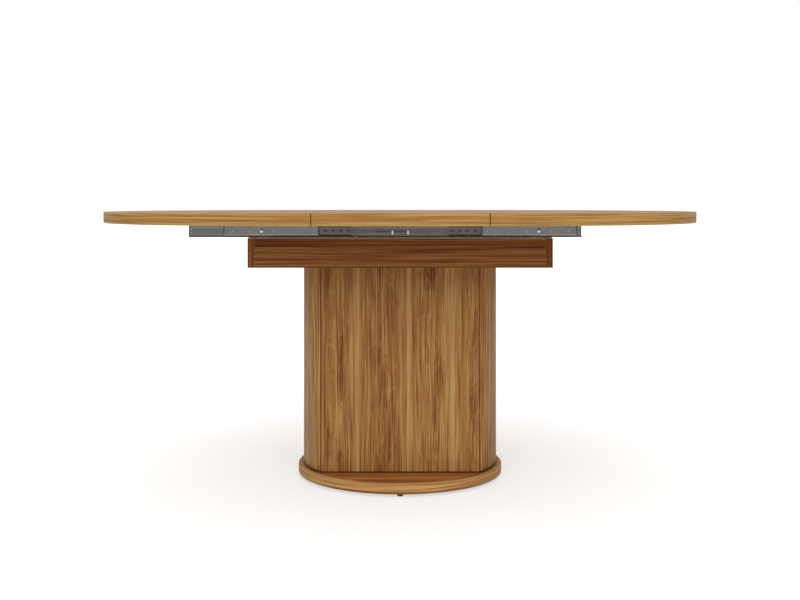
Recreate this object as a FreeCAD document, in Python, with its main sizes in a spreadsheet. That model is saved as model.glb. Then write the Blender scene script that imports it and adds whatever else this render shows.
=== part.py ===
import FreeCAD, Part
import math
import os
import re
import Sketcher

# Oval pedestal dining table that extends, with a folding (butterfly) leaf in the middle.
#
# Frame: millimetres, +Z up, origin on the floor at the centre of the base. X runs along the
# long way of the extended top, -Y is the front. The table stands extended with its leaf in.
#
# The two half tops hang on runners. Each runner rolls in the outer side of a floating steel
# channel, and the channel rolls on a fixed rail that a support angle carries on the box.
# The leaf folds along y = 0 and swings down into the box on four parallel arms.

SIZES = {
    # name: (millimetres, what it measures)
    "table_height": (750, "floor to the finished top"),
    "top_thickness": (30, "thickness of the half tops and of the leaf"),
    "top_radius": (622.5, "radius of the round ends of the top"),
    "leaf_width": (420, "gap that the leaf fills between the half tops"),
    "seam_gap": (0.8, "gap between the leaf and each half top"),
    "fold_gap": (0.4, "gap along the leaf's fold, open or folded"),
    "band_width": (20, "width of the solid wood edge band of the top"),
    "edge_rounding": (2.5, "rounding of the top's outer edges"),
    "glide_height": (8, "height of the glides under the base"),
    "glide_radius": (8, "radius of a glide's pad"),
    "glide_rounding": (2.5, "rounding of a glide's foot"),
    "glide_inset": (22, "edge of the base to the centre of a glide"),
    "stem_radius": (3.5, "radius of a glide's stem"),
    "stem_length": (14, "length of a glide's stem in the base"),
    "base_thickness": (30, "thickness of the base disc"),
    "base_radius": (290, "radius of the base disc with its band"),
    "base_band_width": (12, "width of the base's edge band"),
    "base_rounding": (6, "rounding of the base's outer edges"),
    "base_step": (15, "edge of the base to the pedestal's round sides"),
    "pedestal_half_depth": (169, "centre to the pedestal's flat faces"),
    "panel_thickness": (18, "thickness of the flat pedestal panels"),
    "shell_thickness": (18, "thickness of the curved pedestal shells"),
    "plate_thickness": (18, "thickness of the plates inside the pedestal"),
    "bolt_radius": (4, "radius of the pedestal bolts"),
    "bolt_head_radius": (6.5, "radius of their heads"),
    "bolt_head_height": (5, "height of their heads"),
    "bolt_grip": (16, "length of a bolt inside a plate"),
    "bolt_clearance": (0.2, "play of a bolt in the board it passes through"),
    "counterbore_clearance": (1.5, "play around a bolt head in the base"),
    "bolt_x": (110, "bolts to the middle plane, along X"),
    "bolt_y": (90, "bolts to the middle plane, along Y"),
    "box_length": (786, "outer length of the storage box, along X"),
    "box_height": (76, "height of the storage box"),
    "board_thickness": (18, "thickness of the box's boards"),
    "floor_thickness": (12, "thickness of the box's floor"),
    "dowel_radius": (4, "radius of the corner dowels"),
    "dowel_depth": (14, "depth of a dowel in the end board"),
    "dowel_inset": (18, "dowel to the nearest edge of the board"),
    "steel_gauge": (1.5, "sheet thickness of angles and channels"),
    "rail_gauge": (1.2, "sheet thickness of the fixed rails and the runners"),
    "cage_gauge": (0.5, "sheet thickness of the ball cages"),
    "angle_edge_inset": (1.5, "edge of the support angle behind the board's face"),
    "angle_end_inset": (1, "end of the support angle behind the box's end"),
    "rest_gap": (0.3, "gap between the leaf and the angles that it rests on"),
    "slide_gap": (1.5, "gap over and under the floating channel"),
    "race_half": (11, "half height of the rails that the balls roll on"),
    "ball_radius": (1.65, "radius of the bearing balls"),
    "ball_clearance": (0.1, "play of a ball in its track"),
    "rail_depth": (6.2, "depth of the fixed rail, back to lips"),
    "slide_depth": (16, "depth of the whole slide, back to front"),
    "runner_depth": (6.4, "depth of the runner's own channel"),
    "flange_width": (18, "width of the runner's top flange"),
    "channel_inset": (1.8, "channel lips to the back and the front of the slide"),
    "web_place": (7.2, "back of the slide to the channel's web"),
    "groove_depth": (0.6, "depth of the two grooves rolled in the channel's web"),
    "groove_width": (2, "width of those grooves"),
    "groove_place": (2.9, "middle of the channel to the middle of a groove"),
    "channel_length": (1013, "length of the floating channel"),
    "float_half": (39, "how far the floating channel can shift from the middle"),
    "runner_reach": (455, "middle of the table to the outer end of a runner"),
    "runner_end_gap": (0.5, "inner end of a runner to the seam"),
    "cage_length": (204, "length of a runner's ball cage"),
    "cage_reach": (125, "middle of the table to the inner end of that cage"),
    "rail_cage_length": (420, "length of the fixed rail's ball cage"),
    "cage_margin": (16, "end of a cage to its first ball"),
    "first_window": (8, "inner end of a runner's cage to its first window"),
    "window_pitch": (20, "distance between the windows in a cage's web"),
    "window_radius": (2.4, "radius of those windows"),
    "stud_radius": (2.5, "radius of the cage stop studs"),
    "stud_reach": (20, "middle of the table to a stop stud"),
    "stud_head_width": (4, "width of a stud's head"),
    "stud_head_height": (11, "height of a stud's head"),
    "stud_head_drop": (3.5, "middle of a stud's head below the middle of the stud"),
    "stud_play": (0.5, "play of a stud in the slots around it"),
    "stud_head_gap": (1, "gap between a stud's head and the channel's web"),
    "rivet_radius": (2, "radius of the rivets in the slides"),
    "rivet_head_radius": (3.6, "radius of their heads"),
    "rivet_head_height": (1.1, "height of their heads"),
    "rivet_pitch": (230, "distance between the rivets of a fixed rail"),
    "runner_hole_radius": (2.2, "radius of the holes in a runner's web"),
    "first_hole": (21, "outer end of a runner to its first hole"),
    "second_hole": (68.5, "outer end of a runner to its second hole"),
    "third_hole": (129, "outer end of a runner to its third hole"),
    "last_hole": (12, "inner end of a runner to its last hole"),
    "stop_place": (98, "outer end of a runner to its stop block"),
    "stop_length": (22, "length of a stop block"),
    "stop_cover": (2, "plastic that covers the end of a stop block's rivet"),
    "screw_radius": (2, "radius of the wood screws"),
    "screw_head_radius": (3.8, "radius of their heads"),
    "screw_head_height": (1.2, "height of their heads"),
    "screw_grip": (9, "length of a screw inside the wood"),
    "screw_inset": (30, "end of a runner or an angle to its first screw"),
    "pin_radius": (4, "radius of the pivot pins"),
    "pin_head_radius": (5.5, "radius of their heads"),
    "pin_head_height": (1.2, "thickness of their heads"),
    "running_clearance": (0.05, "radial play of an arm on its pin"),
    "open_pivot_clearance": (0.3, "radial play of the rear arms on the leaf's pins"),
    "side_play": (0.3, "play beside an arm"),
    "arm_half_width": (6.5, "half the width of a swing arm"),
    "arm_thickness": (4, "thickness of a swing arm"),
    "arm_place": (160, "middle of the table to the brackets' cheeks"),
    "arm_floor_gap": (1, "gap under a lowered arm"),
    "bracket_gauge": (3, "thickness of the pivot brackets"),
    "bracket_half_length": (10, "half the length of a pivot bracket"),
    "bracket_foot": (25, "width of a bracket's foot"),
    "bracket_eye": (6, "pivot to the end of a bracket's cheek"),
    "bracket_drop": (9.5, "underside of the leaf to its pivots"),
    "bracket_screw_inset": (12, "cheek of a bracket to its screws"),
    "bracket_screw_pitch": (10, "distance between the two screws of a bracket"),
    "pivot_inset": (30, "box's rear board to the rear pivots on the leaf"),
    "pivot_pitch": (200, "distance between the two pivots of one side"),
    "stow_clearance": (8, "folded leaf to the box's front board"),
    "stow_room": (29.5, "folded leaf to the box's rear board"),
    "barrel_radius": (7, "radius of the fold's barrel hinges"),
    "barrel_depth": (24, "depth of a barrel in its panel"),
    "barrel_pitch": (150, "distance between the barrel hinges"),
}

DERIVED = {
    # Places that follow from the sizes above.
    "underside": "table_height - top_thickness",
    "half_leaf": "leaf_width / 2",
    "glide_circle": "base_radius - glide_inset",
    "base_top": "glide_height + base_thickness",
    "box_half_depth": "(stow_clearance + top_radius + stow_room) / 2",
    "box_top": "underside - slide_gap - channel_height - slide_gap - steel_gauge",
    "box_bottom": "box_top - box_height",
    "floor_top": "box_bottom + floor_thickness",
    "box_half_length": "box_length / 2",
    "box_face": "box_half_depth + board_thickness",
    "inner_half_length": "box_half_length - board_thickness",
    "angle_reach": "box_half_length - angle_end_inset",
    "pedestal_radius": "base_radius - base_step",
    "shell_half_depth": "pedestal_half_depth - panel_thickness",
    "inner_radius": "pedestal_radius - shell_thickness",
    "outer_mitre": "sqrt(pedestal_radius ^ 2 - pedestal_half_depth ^ 2)",
    "inner_mitre": "sqrt(inner_radius ^ 2 - shell_half_depth ^ 2)",
    "race_inner": "race_half - rail_gauge",
    "ball_place": "race_half + ball_clearance + ball_radius",
    "channel_inner": "race_half + 2 * ball_clearance + 2 * ball_radius",
    "channel_half": "channel_inner + steel_gauge",
    "channel_height": "2 * channel_half",
    "slide_centre": "underside - slide_gap - channel_half",
    "slide_back": "box_half_depth + steel_gauge",
    "web_front": "web_place + steel_gauge",
    "channel_mouth": "slide_depth - channel_inset",
    "runner_lip": "slide_depth - runner_depth",
    "flange_edge": "slide_depth + flange_width",
    "rail_ball_row": "(rail_gauge + channel_inset + web_place) / 2",
    "runner_ball_row": "(web_front + channel_mouth + cage_gauge) / 2",
    "runner_inner_end": "half_leaf + runner_end_gap",
    "screw_line": "slide_depth + flange_width / 2",
    "arm_floor_pivot": "floor_top + arm_floor_gap + arm_half_width",
    "leaf_pivot": "underside - bracket_drop",
    "rear_pivot": "box_half_depth - pivot_inset",
    "front_pivot": "rear_pivot - pivot_pitch",
    "stow_drop": "leaf_pivot - arm_floor_pivot",
    "stow_shift": "box_half_depth - stow_clearance",
    "arm_length": "(stow_shift ^ 2 + stow_drop ^ 2) / (2 * stow_shift)",
    "arm_lean": "(stow_shift ^ 2 - stow_drop ^ 2) / (2 * stow_shift)",
    "arm_inner": "arm_place + bracket_gauge + side_play",
    "arm_outer": "arm_inner + arm_thickness",
    "pin_seat": "arm_outer + side_play",
}

PLANES = {"XY": "XY_Plane", "XZ": "XZ_Plane", "YZ": "YZ_Plane"}
SIDES = {"left": -1, "right": 1}
DEPTHS = {"front": -1, "back": 1}
BALLS_PER_ROW = 6
WINDOWS_PER_CAGE = 4
RIVETS_PER_RAIL = 4
SCREWS_PER_RUNNER = 3
SCREWS_PER_ANGLE = 4
HALF_TURN = 180
FULL_TURN = 360
TOUCH = 0.01  # a point this near to a surface counts as lying on it

document = FreeCAD.newDocument("ExtendingTable")
sheet = document.addObject("Spreadsheet::Sheet", "Sizes")
subparts = []


def fill_sheet():
    """Write every driving size into the sheet, one row each, with its name as alias."""
    for row, (name, (value, meaning)) in enumerate(SIZES.items(), start=1):
        sheet.set(f"A{row}", str(value))
        sheet.setAlias(f"A{row}", name)
        sheet.set(f"B{row}", meaning)
    document.recompute()


def sized(formula):
    """Turn a formula in plain size names into one that reads the sheet's cells."""

    def cell(match):
        name = match.group(0)
        if name in SIZES:
            return f"Sizes.{name}"
        if name in DERIVED:
            return f"({sized(DERIVED[name])})"
        return name

    return re.sub(r"[a-z][a-z_]+", cell, str(formula))


def millimetres(name):
    """Value of a driving size in the sheet."""
    return float(sheet.get(name))


def bind(thing, **formulas):
    """Bind properties of an object to formulas; a double underscore stands for a dot."""
    for name, formula in formulas.items():
        thing.setExpression(name.replace("__", "."), sized(formula))


def place(thing, x="0", y="0", z="0"):
    """Bind the place of an object."""
    bind(thing, Placement__Base__x=x, Placement__Base__y=y, Placement__Base__z=z)


def span(side, near, far):
    """Low and high end of a stretch from near to far, mirrored for the negative side."""
    if side > 0:
        return near, far
    return f"-({far})", f"-({near})"


def keep(thing, label):
    """Name an object as one sub-part of the table."""
    thing.Label = label
    subparts.append(thing)
    return thing


# ---- Part primitives -------------------------------------------------------------------------


def block(x, y, z):
    """Box between the low and high ends given for each axis."""
    thing = document.addObject("Part::Box", "Block")
    bind(thing, Length=f"({x[1]}) - ({x[0]})", Width=f"({y[1]}) - ({y[0]})")
    bind(thing, Height=f"({z[1]}) - ({z[0]})")
    place(thing, x[0], y[0], z[0])
    return thing


def rod(axis, radius, ends, centre):
    """Cylinder along an axis between two ends, with its centre line at the other two axes."""
    thing = document.addObject("Part::Cylinder", "Rod")
    low, high = ends
    bind(thing, Radius=radius, Height=f"({high}) - ({low})")
    if axis == "X":
        thing.Placement.Rotation = FreeCAD.Rotation(FreeCAD.Vector(0, 1, 0), 90)
        place(thing, low, centre[0], centre[1])
    elif axis == "Y":
        thing.Placement.Rotation = FreeCAD.Rotation(FreeCAD.Vector(1, 0, 0), -90)
        place(thing, centre[0], low, centre[1])
    else:
        place(thing, centre[0], centre[1], low)
    return thing


def ball(x, y, z):
    """Bearing ball."""
    thing = document.addObject("Part::Sphere", "Ball")
    bind(thing, Radius="ball_radius")
    place(thing, x, y, z)
    return thing


def joined(shapes):
    """One solid of overlapping or touching shapes."""
    thing = document.addObject("Part::MultiFuse", "Joined")
    thing.Shapes = shapes
    return thing


def shared(shapes):
    """The space that all the shapes share."""
    thing = document.addObject("Part::MultiCommon", "Shared")
    thing.Shapes = shapes
    return thing


def less(base, tool):
    """The base with the tool's space taken out."""
    thing = document.addObject("Part::Cut", "Less")
    thing.Base = base
    thing.Tool = tool
    return thing


def group(solids):
    """Several separate solids in one object."""
    thing = document.addObject("Part::Compound", "Group")
    thing.Links = solids
    return thing


# ---- PartDesign bodies -----------------------------------------------------------------------


def new_sketch(body, plane, level):
    """Sketch on one of the body's origin planes, moved along that plane's axis to a level."""
    sketch = body.newObject("Sketcher::SketchObject", "Outline")
    role = PLANES[plane]
    base = next(item for item in body.Origin.OriginFeatures if item.Role == role)
    sketch.AttachmentSupport = [(base, "")]
    sketch.MapMode = "FlatFace"
    # The XZ plane looks towards -Y, so its offset counts the other way.
    offset = f"-({level})" if plane == "XZ" else level
    bind(sketch, AttachmentOffset__Base__z=offset)
    return sketch


def fix_point(sketch, geometry, point, x, y):
    """Fix a point of the sketch at a formula's distance from the origin, both ways."""
    for kind, formula in (("DistanceX", x), ("DistanceY", y)):
        index = sketch.addConstraint(Sketcher.Constraint(kind, -1, 1, geometry, point, 1.0))
        sketch.setExpression(f"Constraints[{index}]", sized(formula))


def draw_outline(sketch, corners):
    """Closed outline of straight lines through the corners, each corner bound to formulas."""
    first = sketch.GeometryCount
    count = len(corners)
    # The corners start round a unit circle, and the constraints take each one to its place.
    turns = [2 * math.pi * corner / count for corner in range(count)]
    points = [FreeCAD.Vector(math.cos(turn), math.sin(turn), 0) for turn in turns]
    for corner in range(count):
        sketch.addGeometry(Part.LineSegment(points[corner], points[(corner + 1) % count]))
    for corner in range(count):
        after = first + (corner + 1) % count
        sketch.addConstraint(Sketcher.Constraint("Coincident", first + corner, 2, after, 1))
    for corner, (x, y) in enumerate(corners):
        fix_point(sketch, first + corner, 1, x, y)


def draw_circle(sketch, x, y, radius):
    """Circle with its centre and radius bound to formulas."""
    circle = Part.Circle(FreeCAD.Vector(1, 1, 0), FreeCAD.Vector(0, 0, 1), 1.0)
    geometry = sketch.addGeometry(circle)
    fix_point(sketch, geometry, 3, x, y)
    index = sketch.addConstraint(Sketcher.Constraint("Radius", geometry, 1.0))
    sketch.setExpression(f"Constraints[{index}]", sized(radius))


def rectangle(x, y):
    """Corners of a rectangle between low and high ends."""
    return [(x[0], y[0]), (x[1], y[0]), (x[1], y[1]), (x[0], y[1])]


def pad(plane, corners, ends):
    """Body of an outline, padded between two levels along the plane's axis."""
    body = document.addObject("PartDesign::Body", "Body")
    low, high = ends
    sketch = new_sketch(body, plane, f"(({low}) + ({high})) / 2")
    draw_outline(sketch, corners)
    feature = body.newObject("PartDesign::Pad", "Pad")
    feature.Profile = sketch
    feature.SideType = "Symmetric"
    bind(feature, Length=f"({high}) - ({low})")
    return body


def disc(radius, ends):
    """Round body about the vertical axis."""
    body = document.addObject("PartDesign::Body", "Body")
    low, high = ends
    sketch = new_sketch(body, "XY", f"(({low}) + ({high})) / 2")
    draw_circle(sketch, "0", "0", radius)
    feature = body.newObject("PartDesign::Pad", "Pad")
    feature.Profile = sketch
    feature.SideType = "Symmetric"
    bind(feature, Length=f"({high}) - ({low})")
    return body


def turned(corners, angle):
    """Body of an outline in the XZ plane, turned about Z, half of the angle to each side."""
    body = document.addObject("PartDesign::Body", "Body")
    sketch = new_sketch(body, "XZ", "0")
    draw_outline(sketch, corners)
    feature = body.newObject("PartDesign::Revolution", "Revolution")
    feature.Profile = sketch
    feature.ReferenceAxis = (sketch, ["V_Axis"])
    feature.Midplane = True
    feature.Angle = angle
    return body


def pocket(body, plane, ends, circles=(), outlines=()):
    """Cut circles (x, y, radius) and outlines out of a body between two levels."""
    low, high = ends
    sketch = new_sketch(body, plane, f"(({low}) + ({high})) / 2")
    for x, y, radius in circles:
        draw_circle(sketch, x, y, radius)
    for corners in outlines:
        draw_outline(sketch, corners)
    document.recompute()
    before = body.Shape.Volume
    feature = body.newObject("PartDesign::Pocket", "Pocket")
    feature.Profile = sketch
    feature.SideType = "Symmetric"
    bind(feature, Length=f"({high}) - ({low})")
    document.recompute()
    assert body.Shape.Volume < before, f"a pocket of {body.Name} cuts nothing"


def round_edges(body, radius, wanted):
    """Round the edges of a body whose middle point passes the test."""
    document.recompute()
    names = []
    for number, edge in enumerate(body.Shape.Edges, start=1):
        middle = edge.valueAt((edge.FirstParameter + edge.LastParameter) / 2)
        if wanted(middle, edge):
            names.append(f"Edge{number}")
    assert names, f"no edge of {body.Name} to round"
    solid = body.Tip
    feature = body.newObject("PartDesign::Fillet", "Rounding")
    feature.Base = (solid, names)
    bind(feature, Radius=radius)


# ---- Base and pedestal -----------------------------------------------------------------------


def glide_places():
    """Centres of the four glides under the base."""
    return [
        ("0", "-glide_circle"),
        ("glide_circle", "0"),
        ("0", "glide_circle"),
        ("-glide_circle", "0"),
    ]


def bolt_places():
    """Centres of the four bolts at each end of the pedestal."""
    return [(f"{a} * bolt_x", f"{b} * bolt_y") for a in (-1, 1) for b in (-1, 1)]


def base_core():
    """Veneered disc under the pedestal, bored for the glides and the bolts."""
    core = disc("base_radius - base_band_width", ("glide_height", "base_top"))
    stems = [(x, y, "stem_radius") for x, y in glide_places()]
    pocket(core, "XY", ("glide_height", "glide_height + stem_length"), stems)
    shafts = [(x, y, "bolt_radius + bolt_clearance") for x, y in bolt_places()]
    pocket(core, "XY", ("glide_height", "base_top"), shafts)
    wide = "bolt_head_radius + counterbore_clearance"
    sinks = [(x, y, wide) for x, y in bolt_places()]
    deep = "glide_height + bolt_head_height + bolt_clearance"
    pocket(core, "XY", ("glide_height", deep), sinks)
    keep(core, "base_disc")


def base_band():
    """Solid wood band around the base, rounded on both outer edges."""
    inner = "base_radius - base_band_width"
    corners = rectangle((inner, "base_radius"), ("glide_height", "base_top"))
    band = turned(corners, FULL_TURN)
    outer = millimetres("base_radius")

    def on_rim(middle, edge):
        is_whole_circle = len(edge.Vertexes) == 1
        return is_whole_circle and abs(math.hypot(middle.x, middle.y) - outer) < TOUCH

    round_edges(band, "base_rounding", on_rim)
    keep(band, "base_edge_band")


def glides():
    """Plastic glides that the table stands on, each with a stem in the base."""
    solids = []
    for x, y in glide_places():
        foot_radius = "glide_radius - glide_rounding"
        low = rod("Z", foot_radius, ("0", "glide_height"), (x, y))
        high = rod("Z", "glide_radius", ("glide_rounding", "glide_height"), (x, y))
        stem = rod("Z", "stem_radius", ("glide_height", "glide_height + stem_length"), (x, y))
        edge = document.addObject("Part::Torus", "Edge")
        bind(edge, Radius1=foot_radius, Radius2="glide_rounding")
        place(edge, x, y, "glide_rounding")
        solids.append(joined([low, high, stem, edge]))
    keep(group(solids), "floor_glides")


def pedestal_bolts():
    """Bolts that hold the pedestal to the base, and the box to the pedestal."""
    solids = []
    for x, y in bolt_places():
        low = "glide_height"
        head = rod("Z", "bolt_head_radius", (low, f"{low} + bolt_head_height"), (x, y))
        shaft_ends = (f"{low} + bolt_head_height", "base_top + bolt_grip")
        solids.append(joined([head, rod("Z", "bolt_radius", shaft_ends, (x, y))]))
    for x, y in bolt_places():
        top = "floor_top + bolt_head_height"
        head = rod("Z", "bolt_head_radius", ("floor_top", top), (x, y))
        shaft_ends = ("box_bottom - bolt_grip", "floor_top")
        solids.append(joined([head, rod("Z", "bolt_radius", shaft_ends, (x, y))]))
    keep(group(solids), "pedestal_bolts")


def pedestal_plate(label, ends, grip):
    """Plate inside the pedestal, at its top or bottom, bored for the bolts."""
    round_part = rod("Z", "inner_radius", ends, ("0", "0"))
    wide = ("-inner_radius", "inner_radius")
    slab = block(wide, ("-shell_half_depth", "shell_half_depth"), ends)
    holes = [rod("Z", "bolt_radius", grip, centre) for centre in bolt_places()]
    keep(less(shared([round_part, slab]), group(holes)), label)


def pedestal_panel(label, side):
    """Flat panel with mitred upright edges, so that its joints lie on the corners."""
    outline = [
        ("-outer_mitre", f"{side} * pedestal_half_depth"),
        ("outer_mitre", f"{side} * pedestal_half_depth"),
        ("inner_mitre", f"{side} * shell_half_depth"),
        ("-inner_mitre", f"{side} * shell_half_depth"),
    ]
    return keep(pad("XY", outline, ("base_top", "box_bottom")), label)


def pedestal_shell(label, side, panels):
    """Curved shell between the mitred edges of the two flat panels, on one side."""
    ends = ("base_top", "box_bottom")
    outer = rod("Z", "pedestal_radius", ends, ("0", "0"))
    inner = rod("Z", "inner_radius", ends, ("0", "0"))
    deep = ("-pedestal_half_depth", "pedestal_half_depth")
    half = block(span(side, "0", "pedestal_radius"), deep, ends)
    keep(less(shared([less(outer, inner), half]), group(panels)), label)


def base_and_pedestal():
    """Everything from the floor to the underside of the box."""
    base_core()
    base_band()
    glides()
    pedestal_bolts()
    low_plate = ("base_top", "base_top + plate_thickness")
    pedestal_plate("pedestal_bottom_plate", low_plate, ("base_top", "base_top + bolt_grip"))
    high_plate = ("box_bottom - plate_thickness", "box_bottom")
    pedestal_plate("pedestal_top_plate", high_plate, ("box_bottom - bolt_grip", "box_bottom"))
    panels = [pedestal_panel(f"pedestal_{name}_panel", side) for name, side in DEPTHS.items()]
    for name, side in SIDES.items():
        pedestal_shell(f"pedestal_{name}_shell", side, panels)


# ---- Storage box -----------------------------------------------------------------------------


def dowel_places(side):
    """Height and depth of the two dowels in one corner of the box."""
    across = f"{side} * (box_half_depth + board_thickness / 2)"
    return [(across, "box_bottom + dowel_inset"), (across, "box_top - dowel_inset")]


def angle_screw_places():
    """X of the screws that hold a support angle on its board."""
    steps = SCREWS_PER_ANGLE - 1
    reach = "(inner_half_length - screw_inset)"
    return [f"{2 * step - steps} / {steps} * {reach}" for step in range(SCREWS_PER_ANGLE)]


def angle_screw_line(side):
    """Y of the screws that hold a support angle."""
    return f"{side} * (box_half_depth + board_thickness / 2)"


def floor_pivots():
    """Y of the front and the rear pivots in the box."""
    return ["front_pivot - arm_lean", "rear_pivot - arm_lean"]


def leaf_pivots():
    """Y of the front and the rear pivots under the leaf."""
    return ["front_pivot", "rear_pivot"]


def bracket_screw_x(side):
    """X of a bracket's screws."""
    return f"{side} * (arm_place - bracket_screw_inset)"


def bracket_screw_y(pivot, way):
    """Y of one of a bracket's two screws."""
    return f"{pivot} + {way} * bracket_screw_pitch / 2"


def bracket_screw_places(pivots):
    """X and Y of the screws of all brackets at the given pivots."""
    return [
        (bracket_screw_x(side), bracket_screw_y(pivot, way))
        for side in SIDES.values()
        for pivot in pivots
        for way in (-1, 1)
    ]


def box_floor():
    """Floor of the box, bored for the pedestal bolts and the brackets' screws."""
    across = ("-inner_half_length", "inner_half_length")
    deep = ("-box_half_depth", "box_half_depth")
    floor = pad("XY", rectangle(across, deep), ("box_bottom", "floor_top"))
    bolts = [(x, y, "bolt_radius + bolt_clearance") for x, y in bolt_places()]
    pocket(floor, "XY", ("box_bottom", "floor_top"), bolts)
    screws = [(x, y, "screw_radius") for x, y in bracket_screw_places(floor_pivots())]
    pocket(floor, "XY", ("floor_top - screw_grip", "floor_top"), screws)
    keep(floor, "box_floor")


def box_long_board(label, side):
    """Front or back board of the box, between the end boards."""
    across = ("-inner_half_length", "inner_half_length")
    deep = span(side, "box_half_depth", "box_face")
    board = pad("XY", rectangle(across, deep), ("box_bottom", "box_top"))
    for end in SIDES.values():
        ends = span(end, "inner_half_length - dowel_depth", "inner_half_length")
        circles = [(y, z, "dowel_radius") for y, z in dowel_places(side)]
        pocket(board, "YZ", ends, circles)
    screws = [(x, angle_screw_line(side), "screw_radius") for x in angle_screw_places()]
    pocket(board, "XY", ("box_top - screw_grip", "box_top"), screws)
    keep(board, label)


def box_end_board(label, side):
    """End board of the box, which covers the ends of the long boards."""
    across = span(side, "inner_half_length", "box_half_length")
    board = pad("XY", rectangle(across, ("-box_face", "box_face")), ("box_bottom", "box_top"))
    ends = span(side, "inner_half_length", "inner_half_length + dowel_depth")
    circles = [
        (y, z, "dowel_radius") for depth in DEPTHS.values() for y, z in dowel_places(depth)
    ]
    pocket(board, "YZ", ends, circles)
    keep(board, label)


def box_dowels():
    """Wooden dowels in the corners of the box."""
    solids = []
    for end in SIDES.values():
        low = "inner_half_length - dowel_depth"
        ends = span(end, low, "inner_half_length + dowel_depth")
        for depth in DEPTHS.values():
            for centre in dowel_places(depth):
                solids.append(rod("X", "dowel_radius", ends, centre))
    keep(group(solids), "box_dowels")


def storage_box():
    """Box under the top that takes the folded leaf."""
    box_floor()
    for name, side in DEPTHS.items():
        box_long_board(f"box_{name}_board", side)
    for name, side in SIDES.items():
        box_end_board(f"box_{name}_end_board", side)
    box_dowels()


# ---- Slides ----------------------------------------------------------------------------------


def profile(side, corners):
    """Corners of a slide's section: depth from the slide's back, and height from its centre."""
    return [(f"{side} * (slide_back + {deep})", f"slide_centre + {high}") for deep, high in corners]


def support_angle(label, side):
    """Steel angle on the long board; its upright leg carries the slide and the leaf."""
    seat = "box_top"
    crown = "underside - rest_gap"
    face = "box_face - angle_edge_inset"
    corners = [
        (f"{side} * box_half_depth", seat),
        (f"{side} * ({face})", seat),
        (f"{side} * ({face})", f"{seat} + steel_gauge"),
        (f"{side} * slide_back", f"{seat} + steel_gauge"),
        (f"{side} * slide_back", crown),
        (f"{side} * box_half_depth", crown),
    ]
    angle = pad("YZ", corners, ("-angle_reach", "angle_reach"))
    line = angle_screw_line(side)
    screws = [(x, line, "screw_radius + ball_clearance") for x in angle_screw_places()]
    pocket(angle, "XY", ("box_top", "box_top + steel_gauge"), screws)
    holes = [(x, "slide_centre", "rivet_radius") for x in rail_rivet_places()]
    holes += [(x, "slide_centre", "stud_radius") for x in stud_places()]
    pocket(angle, "XZ", span(side, "box_half_depth", "slide_back"), holes)
    keep(angle, label)


def rail_rivet_places():
    """X of the rivets that hold a fixed rail on its angle."""
    steps = RIVETS_PER_RAIL - 1
    return [f"{2 * step - steps} / 2 * rivet_pitch" for step in range(RIVETS_PER_RAIL)]


def stud_places():
    """X of the two cage stop studs of a slide."""
    return ["-stud_reach", "stud_reach"]


def fixed_rail(label, side):
    """Rail on the support angle, a channel open towards the front of the slide."""
    corners = [
        ("0", "-race_half"),
        ("rail_depth", "-race_half"),
        ("rail_depth", "-race_inner"),
        ("rail_gauge", "-race_inner"),
        ("rail_gauge", "race_inner"),
        ("rail_depth", "race_inner"),
        ("rail_depth", "race_half"),
        ("0", "race_half"),
    ]
    reach = "inner_half_length"
    rail = pad("YZ", profile(side, corners), (f"-{reach}", reach))
    holes = [(x, "slide_centre", "rivet_radius") for x in rail_rivet_places()]
    holes += [(x, "slide_centre", "stud_radius") for x in stud_places()]
    pocket(rail, "XZ", span(side, "slide_back", "slide_back + rail_gauge"), holes)
    keep(rail, label)


def fixed_rail_rivets():
    """Rivets through the fixed rails and their angles."""
    solids = []
    for side in DEPTHS.values():
        for x in rail_rivet_places():
            shaft_ends = span(side, "box_half_depth", "slide_back + rail_gauge")
            head_low = "slide_back + rail_gauge"
            head_ends = span(side, head_low, f"{head_low} + rivet_head_height")
            shaft = rod("Y", "rivet_radius", shaft_ends, (x, "slide_centre"))
            head = rod("Y", "rivet_head_radius", head_ends, (x, "slide_centre"))
            solids.append(joined([shaft, head]))
    keep(group(solids), "fixed_rail_rivets")


def cage_stop_studs():
    """Studs with upright heads at the middle of each slide, where the cages stop."""
    solids = []
    for side in DEPTHS.values():
        for x in stud_places():
            neck = "slide_back + web_front + stud_head_gap"
            shaft = rod("Y", "stud_radius", span(side, "box_half_depth", neck), (x, "slide_centre"))
            head_ends = span(side, neck, f"{neck} + rivet_head_height")
            middle = "slide_centre - stud_head_drop"
            head = block(
                (f"{x} - stud_head_width / 2", f"{x} + stud_head_width / 2"),
                head_ends,
                (f"{middle} - stud_head_height / 2", f"{middle} + stud_head_height / 2"),
            )
            solids.append(joined([shaft, head]))
    keep(group(solids), "cage_stop_studs")


def stud_slot(shift):
    """Slot around both studs, long enough for a piece that travels twice the shift."""
    half = "stud_reach + stud_radius + stud_play"
    low = f"-({half}) - 2 * {shift}"
    half_height = "(stud_radius + stud_play)"
    upright = (f"slide_centre - {half_height}", f"slide_centre + {half_height}")
    return rectangle((low, half), upright)


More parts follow.
